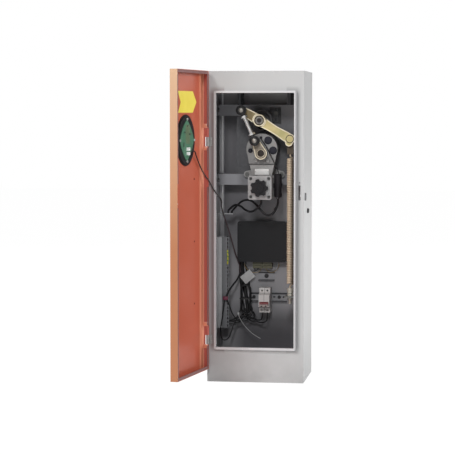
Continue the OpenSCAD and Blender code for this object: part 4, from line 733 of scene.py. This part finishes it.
coil_line = [coil_point(step / points_per_turn) for step in range(points_per_turn * turns + 1)]
coil_line = stem_points(0, -1)[::-1] + coil_line + stem_points(turns, 1)
spring_gold = Finish("spring_gold", metallic=0.15, specular_ior_level=0.35)
spring_stain = spring_gold.noise(40.0, 4.0)
spring_tone = spring_gold.mix(spring_stain, (0.50, 0.40, 0.28), (0.74, 0.63, 0.49))
# The right side of the spring is painted shade.
painted_shade_side = spring_gold.ramp(spring_gold.along(across_way), 0.098, 0.108) * 0.85
spring_gold.set(base_color=spring_gold.mix(painted_shade_side, spring_tone, (0.09, 0.065, 0.05)))
spring_gold.set(roughness=0.42 + spring_stain * 0.2)
spring = tube_mesh("wound_spring", coil_line, wire_shown, spring_gold)
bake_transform(spring)
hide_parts("balance_spring")


# Controller: a black moulded box screwed to the back wall, with pluggable terminals below. Four dark
# screws hold the lid at its corners.
case_plastic = moulded("case_plastic", (0.009, 0.009, 0.011), 0.36, 420.0, 0.16)
case_plastic.set(specular_ior_level=0.3)
dress(case_plastic, "controller_case", "controller_lid")
terminal_green = moulded("terminal_green", (0.100, 0.097, 0.058), 0.4)
dress(terminal_green, "terminal_plugs")
lid_bm = bmesh.new()
lid_profile = [(0.0, 1.2), (1.6, 1.0), (2.8, 0.4), (3.0, -0.6), (0.0, -0.6)]
for right in (-81.0, 67.0):
    for up in (378.0, 497.0):
        turn(lid_bm, lid_profile, (right, 95.0, up), 20)
set_down("lid_screws", lid_bm, black_bolt, "cabinet")


# Breaker: two poles side by side in pale plastic, with a screw over each upper terminal and a linked
# pair of red toggles. It is clipped on the long rail. Holes in the rails to its right and above it are dark
# blocks of painted shade, and so are the windows in the toggles.
breaker_plastic = Finish("breaker_plastic", specular_ior_level=0.5)
seam = abs(breaker_plastic.along(across_way) - 0.004) < 0.0005
breaker_clouds = breaker_plastic.noise(30.0, 3.0)
pale = breaker_plastic.mix(breaker_clouds, (0.62, 0.60, 0.59), (0.72, 0.70, 0.68))
breaker_plastic.set(base_color=breaker_plastic.mix(seam, pale, (0.10, 0.10, 0.10)))
breaker_plastic.set(roughness=0.35 + breaker_clouds * 0.1)
dress(breaker_plastic, "breaker_body")
toggle_red = moulded("toggle_red", (0.20, 0.030, 0.032), 0.3)
toggle_way = (0.0, -0.8829, -0.4695)
toggle_red.tint(toggle_red.along(toggle_way) > -0.1546, (0.55, 0.48, 0.46))
dress(toggle_red, "breaker_toggle")
# Painted shade: dark blocks where the rails have holes.
slot_shade_bm = bmesh.new()
hole_profile = [(0.0, 0.8), (7.0, 0.8), (7.4, 0.4), (7.4, -0.4), (0.0, -0.4)]
turn(slot_shade_bm, hole_profile, (4.0, 130.6, 320.0), 28)
for right, wide in ((30.0, 7.0), (63.0, 9.0)):
    soft_block(slot_shade_bm, (right, 131.8, 249.0), (wide, 0.8, 5.2), 0.3, 1)
set_down("rail_slot_shade", slot_shade_bm, black_bolt, "cabinet")
# Painted shade: dark windows in the toggles.
window_bm = bmesh.new()
for right in (-3.0, 11.0):
    soft_block(window_bm, (right, -15.0, 0.0), (6.0, 0.8, 5.0), 0.3, 1)
swing(window_bm, 28.0, "X")
bmesh.ops.translate(window_bm, vec=(0.0, 62.5, 233.0), verts=window_bm.verts)
set_down("toggle_window_shade", window_bm, hollow, "toggle")
screw_bm = bmesh.new()
terminal_profile = [(0.0, 0.6), (2.2, 0.5), (2.9, 0.0), (2.9, -0.5), (0.0, -0.5)]
for right in (-5.0, 13.0):
    turn(screw_bm, terminal_profile, (right, 81.5, 275.0), 18)
set_down("breaker_screws", screw_bm, screw_steel, "cabinet")


# Cables: black leads of a few millimetres, laid by hand and strapped together. Each is one smooth curve
# from where it leaves the gate's own fittings. The thick sleeve of the harness ends behind the hank.
def lead_pvc(name, colour):
    pvc = Finish(name, specular_ior_level=0.4)
    dust = pvc.noise(60.0, 4.0)
    pvc.set(base_color=pvc.mix(dust, shade(colour, 0.8), shade(colour, 1.4)))
    pvc.set(roughness=0.38 + dust * 0.2)
    pvc.set(normal=pvc.bump(pvc.noise(700.0), 0.08, 0.0005))
    return pvc


def smooth_run(points):
    """An open curve that passes smoothly through points given in millimetres."""
    curve = bpy.data.curves.new("run", "CURVE")
    curve.dimensions = "3D"
    spline = curve.splines.new("BEZIER")
    spline.bezier_points.add(len(points) - 1)
    for knot, point in zip(spline.bezier_points, points):
        knot.co = Vector(point) / 1000.0
        knot.handle_left_type = "AUTO"
        knot.handle_right_type = "AUTO"
    curve.resolution_u = 8
    curve.use_fill_caps = True
    return curve


def lay_cable(name, points, thick, finish, replaced=""):
    curve = smooth_run(points)
    curve.name = name
    curve.bevel_depth = thick / 2000.0
    curve.bevel_resolution = 3
    curve.materials.append(finish.material)
    cable = bpy.data.objects.new(name, curve)
    scene.collection.objects.link(cable)
    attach(cable, "cabinet")
    if replaced:
        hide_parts(replaced)


black_pvc = (0.011, 0.011, 0.012)
cable_black = lead_pvc("cable_black", black_pvc)
case_under = 370.8
lay_cable("motor_lead", [(5, -20, 585), (4, -20, 571), (-8, -16, 556), (-28, -8, 544), (-50, 6, 548),
                         (-70, 22, 560), (-90, 40, 562), (-106, 54, 552), (-116, 60, 540), (-116, 60, 534)],
          7.0, cable_black, "motor_cable")
lay_cable("capacitor_lead", [(58, -2, 585.5), (57, -4, 570), (50, -2, 550), (36, 2, 535), (20, 4, 533),
                             (2, 6, 546), (-16, 10, 566), (-40, 18, 580), (-64, 30, 576), (-82, 42, 562),
                             (-96, 54, 548), (-104, 62, 538), (-104, 62, 534)],
          7.0, cable_black, "capacitor_cable")
lay_cable("main_harness", [(-78, 126.5, case_under), (-78, 126.5, 354), (-76, 126.5, 330),
                           (-73, 126.5, 302), (-68, 126.5, 272), (-63, 126.5, 240), (-59, 126.5, 212),
                           (-58, 126, 199)],
          12.0, cable_black, "harness")
lay_cable("breaker_lead_left", [(-4, 86, 201.5), (-4, 85, 190), (-8, 88, 178), (-20, 96, 174),
                                (-36, 104, 178)],
          4.0, cable_black, "breaker_leads")
lay_cable("breaker_lead_right", [(12, 86, 201.5), (12, 85, 188), (8, 88, 172), (-8, 96, 166),
                                 (-30, 104, 170)],
          4.0, cable_black)
lay_cable("limit_lead", [(2, -10.4, 786), (6, -15, 778), (16, -16, 764), (29, -16, 740), (42, -16, 714),
                         (56, -17, 686), (64, -19, 658), (64, -20, 622), (60, -16, 584), (53, -10, 562),
                         (45, -8, 551)],
          3.0, cable_black)


# Spare cable: the same black lead folded into a hank of four loops in front of the harness and led out to
# the wiring channel, with a nylon strap round hank and harness. Other leads pass behind and below it.
loops = 4
loop_points = 24
loop_radius = 15.0
loop_half = 33.0
loop_step = 2.0 * loop_half / 3.0


def loop_point(place):
    """A point of an upright loop: round above, straight, round below, straight."""
    step = place % loop_points
    if step < 9:
        turned = math.radians(20 * step)
        return loop_radius * math.cos(turned), loop_half + loop_radius * math.sin(turned)
    if step < 12:
        return -loop_radius, loop_half - loop_step * (step - 9)
    if step < 21:
        turned = math.radians(20 * (step - 3))
        return loop_radius * math.cos(turned), -loop_half + loop_radius * math.sin(turned)
    return loop_radius, -loop_half + loop_step * (step - 21)


hank_across = -63.0
hank_back = 117.7
hank_height = 243.0
loop_spacing = 5.8
hank_line = [(-78.0, hank_back, case_under), (-78.0, hank_back, 330.0), (-78.0, hank_back, 294.0)]
for place in range(loop_points * loops + 3):
    aside, rise = loop_point(place + 9)
    depth = hank_back - loop_spacing * place / loop_points
    hank_line.append((hank_across + aside, depth, hank_height + rise))
hank_line += [(-80, 93, 206), (-86, 91, 190), (-97, 89, 179), (-110, 88, 175), (-121.9, 87, 175)]
lay_cable("spare_hank", hank_line, 5.0, cable_black)
by_wall = 129.5
lay_cable("loose_lead_1", [(-67, by_wall, case_under), (-66, by_wall, 352), (-60, by_wall, 320),
                           (-54, by_wall, 290), (-51, by_wall, 250), (-50, 129, 218), (-46, 124, 204),
                           (-39, 116, 198), (-33, 109, 191), (-34, 103, 183), (-42, 98, 179),
                           (-53, 94, 182), (-62, 89.5, 191)],
          5.0, cable_black)
lay_cable("loose_lead_2", [(-86, by_wall, case_under), (-87, by_wall, 340), (-85, by_wall, 304),
                           (-80, by_wall, 262), (-75, by_wall, 230), (-72, by_wall, 207), (-74, 126, 188),
                           (-84, 118, 175), (-100, 107, 169), (-121.9, 99, 169)],
          5.0, cable_black)
lay_cable("breaker_tail_1", [(-36, 104, 178), (-44, 106, 181), (-54, 108, 188), (-62, 110, 200),
                             (-66, 111, 212)],
          4.0, cable_black)
lay_cable("breaker_tail_2", [(-30, 104, 170), (-40, 105.5, 169), (-52, 107, 174), (-62, 109, 186),
                             (-68, 110, 200)],
          4.0, cable_black)
lay_cable("foot_lead", [(-56, 103, 198), (-62, 99, 182), (-76, 95, 171), (-94, 92, 165), (-110, 89, 162),
                        (-122.5, 88, 162)],
          4.0, cable_black)
strap_height = 246.0
strap_bm = bmesh.new()
strap_sides = bmesh.ops.create_cube(strap_bm, size=1.0)["verts"]
bmesh.ops.scale(strap_bm, vec=(37.6, 42.0, 4.5), verts=strap_sides)
bmesh.ops.translate(strap_bm, vec=(hank_across, 111.8, strap_height), verts=strap_sides)
uprights = [edge for edge in strap_bm.edges if abs(edge.verts[0].co.z - edge.verts[1].co.z) > 1.0]
bmesh.ops.bevel(strap_bm, geom=uprights, offset=6.0, segments=5, profile=0.5, affect="EDGES", material=-1)
ends = [face for face in strap_bm.faces if abs(face.normal.z) > 0.9]
bmesh.ops.delete(strap_bm, geom=ends, context="FACES")
bmesh.ops.solidify(strap_bm, geom=strap_bm.faces, thickness=-0.9)
soft_block(strap_bm, (-70.0, 89.0, strap_height), (8.0, 5.0, 6.0), 0.8)
strap_nylon = moulded("strap_nylon", (0.016, 0.016, 0.016), 0.35)
set_down("hank_strap", strap_bm, strap_nylon, "cabinet")


# Loose leads at the foot of the wiring: thin black leads that lie in loops between channel, hank and
# connector, and the white tail of a nylon strap with its head.
lay_cable("channel_lead", [(-127, 49, 244), (-130, 50, 222), (-136, 54, 180), (-141, 60, 140),
                           (-134, 66, 110), (-120, 72, 112), (-108, 78, 136), (-98, 82, 164),
                           (-84, 84, 184), (-62, 88, 190)],
          4.0, cable_black)
lay_cable("cross_lead", [(-121, 49, 258), (-114, 60, 274), (-102, 80, 294), (-92, 98, 308),
                         (-82.3, 113.3, 331)],
          6.0, cable_black)
lay_cable("bottom_loop", [(-45.5, 90.5, 230), (-38, 87, 208), (-46, 86, 184), (-66, 85, 172),
                          (-87, 83, 175), (-100, 77, 190), (-108, 69, 210), (-114, 60, 230),
                          (-119, 52.5, 244.8)],
          4.0, cable_black)
strap_white = lead_pvc("strap_white", (0.50, 0.50, 0.50))
lay_cable("strap_tail", [(-86, 84, 196), (-80, 82, 182), (-66, 80, 160), (-48, 80, 140), (-28, 81, 124),
                         (-10, 82, 114)],
          1.8, strap_white)
head_bm = bmesh.new()
soft_block(head_bm, (-85.0, 87.2, 196.5), (6.0, 5.0, 7.0), 0.8)
set_down("strap_head", head_bm, strap_white, "cabinet")


# Connector on the channel, earth wire above it and the short wires under the controller's terminals:
# dark red moulded plastic, and stranded wires in thin coloured plastic.
connector_red = moulded("connector_red", (0.16, 0.030, 0.060), 0.4)
connector_bm = bmesh.new()
soft_block(connector_bm, (-124.0, 52.6, 251.0), (17.0, 14.0, 12.0), 1.2)
set_down("lead_connector", connector_bm, connector_red, "cabinet")
earth_wire = Finish("earth_wire", specular_ior_level=0.4)
stripe = (earth_wire.along((0.6, 0.6, 1.0)) % 0.014) < 0.004
earth_wire.set(base_color=earth_wire.mix(stripe, (0.62, 0.56, 0.05), (0.10, 0.30, 0.06)))
earth_wire.set(roughness=0.4 + earth_wire.noise(90.0) * 0.1)
lay_cable("earth_lead", [(-118, 59.6, 410), (-117, 55, 403), (-116, 53, 394), (-116, 53, 382),
                         (-117, 55, 372), (-118, 59.6, 365)],
          4.5, earth_wire)
wire_bronze = lead_pvc("wire_bronze", (0.22, 0.15, 0.06))
wire_grey = lead_pvc("wire_grey", (0.24, 0.24, 0.24))
plug_under = 346.8
lay_cable("terminal_wire_1", [(4, 118, plug_under), (8, 119, 338), (22, 120, 333), (38, 120, 340),
                              (46, 121, 354), (46, 122, case_under)],
          2.0, wire_bronze)
lay_cable("terminal_wire_2", [(15, 118, plug_under), (19, 118.5, 341), (28, 119, 340), (35, 120, 350),
                              (36, 122, case_under)],
          2.0, wire_grey)
lay_cable("terminal_wire_3", [(-12, 118, plug_under), (-16, 117, 338), (-32, 116, 332), (-50, 116, 336),
                              (-64, 117, 348), (-70.5, 118.5, 362)],
          2.0, wire_bronze)
lay_cable("terminal_wire_4", [(-22, 118, plug_under), (-28, 119, 339), (-42, 119, 336), (-57, 120, 344),
                              (-70, 122, 357)],
          2.0, cable_black)
lay_cable("terminal_wire_5", [(-33, 118, plug_under), (-38, 120, 342), (-50, 121, 344), (-62, 122, 354),
                              (-70, 123.5, 367)],
          2.0, wire_grey)


# Bare flag label: a white plastic film folded round the leads above the hank, left blank. It is bowed a
# little and hangs aslant.
flag_wide = 42.0
flag_tall = 30.0
flag_bm = bmesh.new()
bmesh.ops.create_grid(flag_bm, x_segments=12, y_segments=4, size=0.5)
for vert in flag_bm.verts:
    bow = 2.4 * math.sin(math.pi * (vert.co.x + 0.5))
    vert.co = (flag_wide * vert.co.x, -bow, flag_tall * vert.co.y)
bmesh.ops.solidify(flag_bm, geom=flag_bm.faces, thickness=0.5)
bmesh.ops.recalc_face_normals(flag_bm, faces=flag_bm.faces)
swing(flag_bm, -40.0, "Y")
bmesh.ops.translate(flag_bm, vec=(-58.0, 113.6, 318.0), verts=flag_bm.verts)
flag_white = moulded("flag_white", (0.86, 0.86, 0.86), 0.4, 600.0, 0.01)
set_down("flag_label", flag_bm, flag_white, "cabinet")


# Sign cable: a thin lead from the sign's connector over the door's edge, through the opening and down to
# the harness. It bends where the door turns.
sign_points = [(-186, -297.3, 740), (-177, -259, 746), (-175, -228, 728), (-170, -195, 700),
               (-160, -171, 672), (-146, -157, 648), (-136, -154, 630), (-124, -153, 610),
               (-114, -144, 596), (-112, -120, 584), (-118, -80, 572), (-126, -30, 560), (-130, 20, 548),
               (-130, 44, 532), (-122, 62, 500), (-110, 84, 450), (-100, 108, 400), (-88, 119, 362),
               (-85, 122, 350), (-84.3, 121.3, 336), (-83, 119.5, 320)]
sign_knots = smooth_run(sign_points).splines[0].bezier_points
sign_line = [1000.0 * sign_knots[0].co]
for first, second in zip(sign_knots, sign_knots[1:]):
    bend = interpolate_bezier(first.co, first.handle_right, second.handle_left, second.co, 9)
    sign_line += [1000.0 * point for point in bend[1:]]
sign_pvc = lead_pvc("sign_pvc", black_pvc)
# The lower part of the lead is tinted brown-pink.
sign_lower_tint = sign_pvc.ramp(sign_pvc.along(up_way), 0.62, 0.52) * 0.8
sign_pvc.tint(sign_lower_tint, (0.085, 0.050, 0.055))
sign_lead = tube_mesh("sign_lead", sign_line, 4.0, sign_pvc)
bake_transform(sign_lead)
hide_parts("sign_cable")


# Door: an orange powder coated pan of thin steel with folded edges, on two lift-off hinges. The free edge
# is painted light tan, lighter towards the top, the hinge side's flange is painted shade in a deeper red,
# and the rounded fold at the hinges carries a painted highlight.
door_degrees = -100.0
door_turn = math.radians(door_degrees)
hinge_place = Vector((-153.0, -144.0, 0.0))
door_way = (math.cos(door_turn), math.sin(door_turn), 0.0)
door_depth = (-door_way[1], door_way[0], 0.0)


def from_hinge(finish, way):
    """How far a point lies from the hinges, along the door or through it."""
    return finish.along(way) - hinge_place.dot(Vector(way)) / 1000.0


door_coat, door_tone = powder_coat("door_coat", (0.47, 0.103, 0.055), 0.28, 0.5)
door_coat.set(coat_weight=0.35, coat_roughness=0.2)
reach = from_hinge(door_coat, door_way)
# Painted light on the free edge, lighter towards the top.
free_edge_light = door_coat.ramp(door_coat.along(up_way), 0.45, 1.0)
free_edge_light = door_coat.mix(free_edge_light, (0.44, 0.168, 0.070), (0.62, 0.40, 0.25))
inner_face = from_hinge(door_coat, door_depth) > -0.0172
# Painted highlight on the inner face beside the fold.
fold_highlight = inner_face * door_coat.ramp(reach, 0.042, 0.014) * 0.45
door_tone = door_coat.mix(fold_highlight, door_tone, (0.62, 0.27, 0.17))
# Painted shade in a deeper red on the hinge side's flange.
door_tone = door_coat.mix((reach < 0.0081) * 0.7, door_tone, (0.36, 0.055, 0.055))
door_coat.set(base_color=door_coat.mix(reach > 0.2983, door_tone, free_edge_light))
dress(door_coat, "door_pan", "door_knuckles")


def hang_on_door(bm):
    """Turns what is drawn on the closed door to where the door stands open."""
    swing(bm, door_degrees, "Z", hinge_place)


def upright(bm, across, depth, low, high, wide, thick, radius):
    """Adds a block that reaches from one height to another."""
    soft_block(bm, (across, depth, (low + high) / 2.0), (wide, thick, high - low), radius, 1)


fold_low = 45.0
fold_tall = 953.0
fold_wide = 22.0
fold_deep = 7.0
fold_bm = bmesh.new()
fold_line = [(-145.2, -160.7)]
for step in range(13):
    angle = math.radians(180.0 + 7.5 * step)
    fold_line.append((-123.0 + fold_wide * math.cos(angle), -153.5 + fold_deep * math.sin(angle)))
fold_foot = fold_bm.faces.new([fold_bm.verts.new((x, y, fold_low)) for x, y in fold_line])
draw_out(fold_bm, [fold_foot], (0.0, 0.0, fold_tall))
for low, high in ((110.0, 122.6), (181.6, 195.0), (747.0, 759.6), (818.6, 832.0)):
    upright(fold_bm, -144.3, -149.5, low, high, 1.6, 17.0, 0.3)
hang_on_door(fold_bm)
# The fold's lighter orange is a painted highlight.
fold_highlight_coat, fold_highlight_tone = powder_coat("fold_highlight_coat", (0.66, 0.245, 0.15), 0.28, 0.5)
fold_highlight_coat.set(base_color=fold_highlight_tone)
set_down("door_fold", fold_bm, fold_highlight_coat, "door", 60.0)


# Seal round the edge of the door: a flat strip of brown foam rubber, glued inside the folded edges and
# left out at the hinges, at the lock and where the sign's cable crosses.
seal_depth = -139.3
seal_thick = 1.8
seal_wide = 8.9
seal_bm = bmesh.new()
for low, high in ((989.5, 998.4), (44.6, 53.5)):
    upright(seal_bm, 0.0, seal_depth, low, high, 289.8, seal_thick, 0.4)
for low, high in ((53.5, 119.0), (186.0, 630.0), (684.0, 756.0), (822.0, 989.5)):
    upright(seal_bm, -140.5, seal_depth, low, high, seal_wide, seal_thick, 0.4)
for low, high in ((53.5, 576.0), (650.0, 989.5)):
    upright(seal_bm, 140.5, seal_depth, low, high, seal_wide, seal_thick, 0.4)
hang_on_door(seal_bm)
seal_foam = moulded("seal_foam", (0.19, 0.092, 0.088), 0.6, 300.0, 0.2)
set_down("door_seal", seal_bm, seal_foam, "door")


# Arrow sticker inside the door: a bare yellow arrow of vinyl film that points to the hinges. It is stuck on
# by hand, so it lies a little uneven.
sticker_vinyl = Finish("sticker_vinyl", specular_ior_level=0.5)
sticker_wear = sticker_vinyl.noise(35.0, 4.0)
sticker_vinyl.set(base_color=sticker_vinyl.mix(sticker_wear, (0.68, 0.54, 0.05), (0.80, 0.69, 0.12)))
sticker_vinyl.set(roughness=0.35 + sticker_wear * 0.15)
sticker_vinyl.set(normal=sticker_vinyl.bump(sticker_vinyl.noise(60.0), 0.15, 0.001))
vinyl_face = -160.45
vinyl_thick = 0.25
sticker_bm = bmesh.new()
outline = [(80.0, 934.0), (-58.0, 934.0), (-92.0, 900.5), (-58.0, 867.0), (78.0, 867.0), (54.0, 899.5)]
arrow = sticker_bm.faces.new([sticker_bm.verts.new((x, vinyl_face, z)) for x, z in outline])
draw_out(sticker_bm, [arrow], (0.0, vinyl_thick, 0.0))
hang_on_door(sticker_bm)
set_down("arrow_sticker", sticker_bm, sticker_vinyl, "door")


# Sign on the door: a black moulded housing with a smoked lens outside and a green circuit board inside,
# crowded with solder points, a few chips and two white connectors.
dress(case_plastic, "sign_housing")
smoked = moulded("smoked_lens", (0.02, 0.016, 0.016), 0.12, 900.0, 0.02)
dress(smoked, "sign_lens")
board_mask = Finish("board_mask", specular_ior_level=0.5)
dots = board_mask.node("TexVoronoi", {}, {"Vector": board_mask.place, "Scale": 260.0, "Randomness": 0.25})
solder = dots < 0.14
board_clouds = board_mask.noise(45.0, 4.0)
green = board_mask.mix(board_clouds, (0.038, 0.130, 0.075), (0.072, 0.185, 0.115))
row = abs(from_hinge(board_mask, door_way) - 0.160) < 0.020
row = row * (abs(board_mask.along(up_way) - 0.800) < 0.030)
green = board_mask.mix(row * 0.4, green, (0.16, 0.12, 0.06))
board_mask.set(base_color=board_mask.mix(solder, green, (0.30, 0.36, 0.30)))
board_mask.set(roughness=0.32 + board_clouds * 0.2)
dress(board_mask, "sign_board")
white_nylon = moulded("white_nylon", (0.85, 0.85, 0.84), 0.35)
dress(white_nylon, "sign_connectors")
chip_bm = bmesh.new()
board_back = -153.9
chips = [(-12.0, 800.0, 18.0, 6.0), (34.0, 806.0, 12.0, 5.0), (44.0, 768.0, 6.0, 14.0),
         (10.0, 826.0, 9.0, 5.0)]
for right, up, wide, tall in chips:
    soft_block(chip_bm, (right, board_back + 0.8, up), (wide, 1.8, tall), 0.4)
hang_on_door(chip_bm)
chip_black = moulded("chip_black", (0.05, 0.085, 0.055), 0.4)
set_down("board_chips", chip_bm, chip_black, "door")
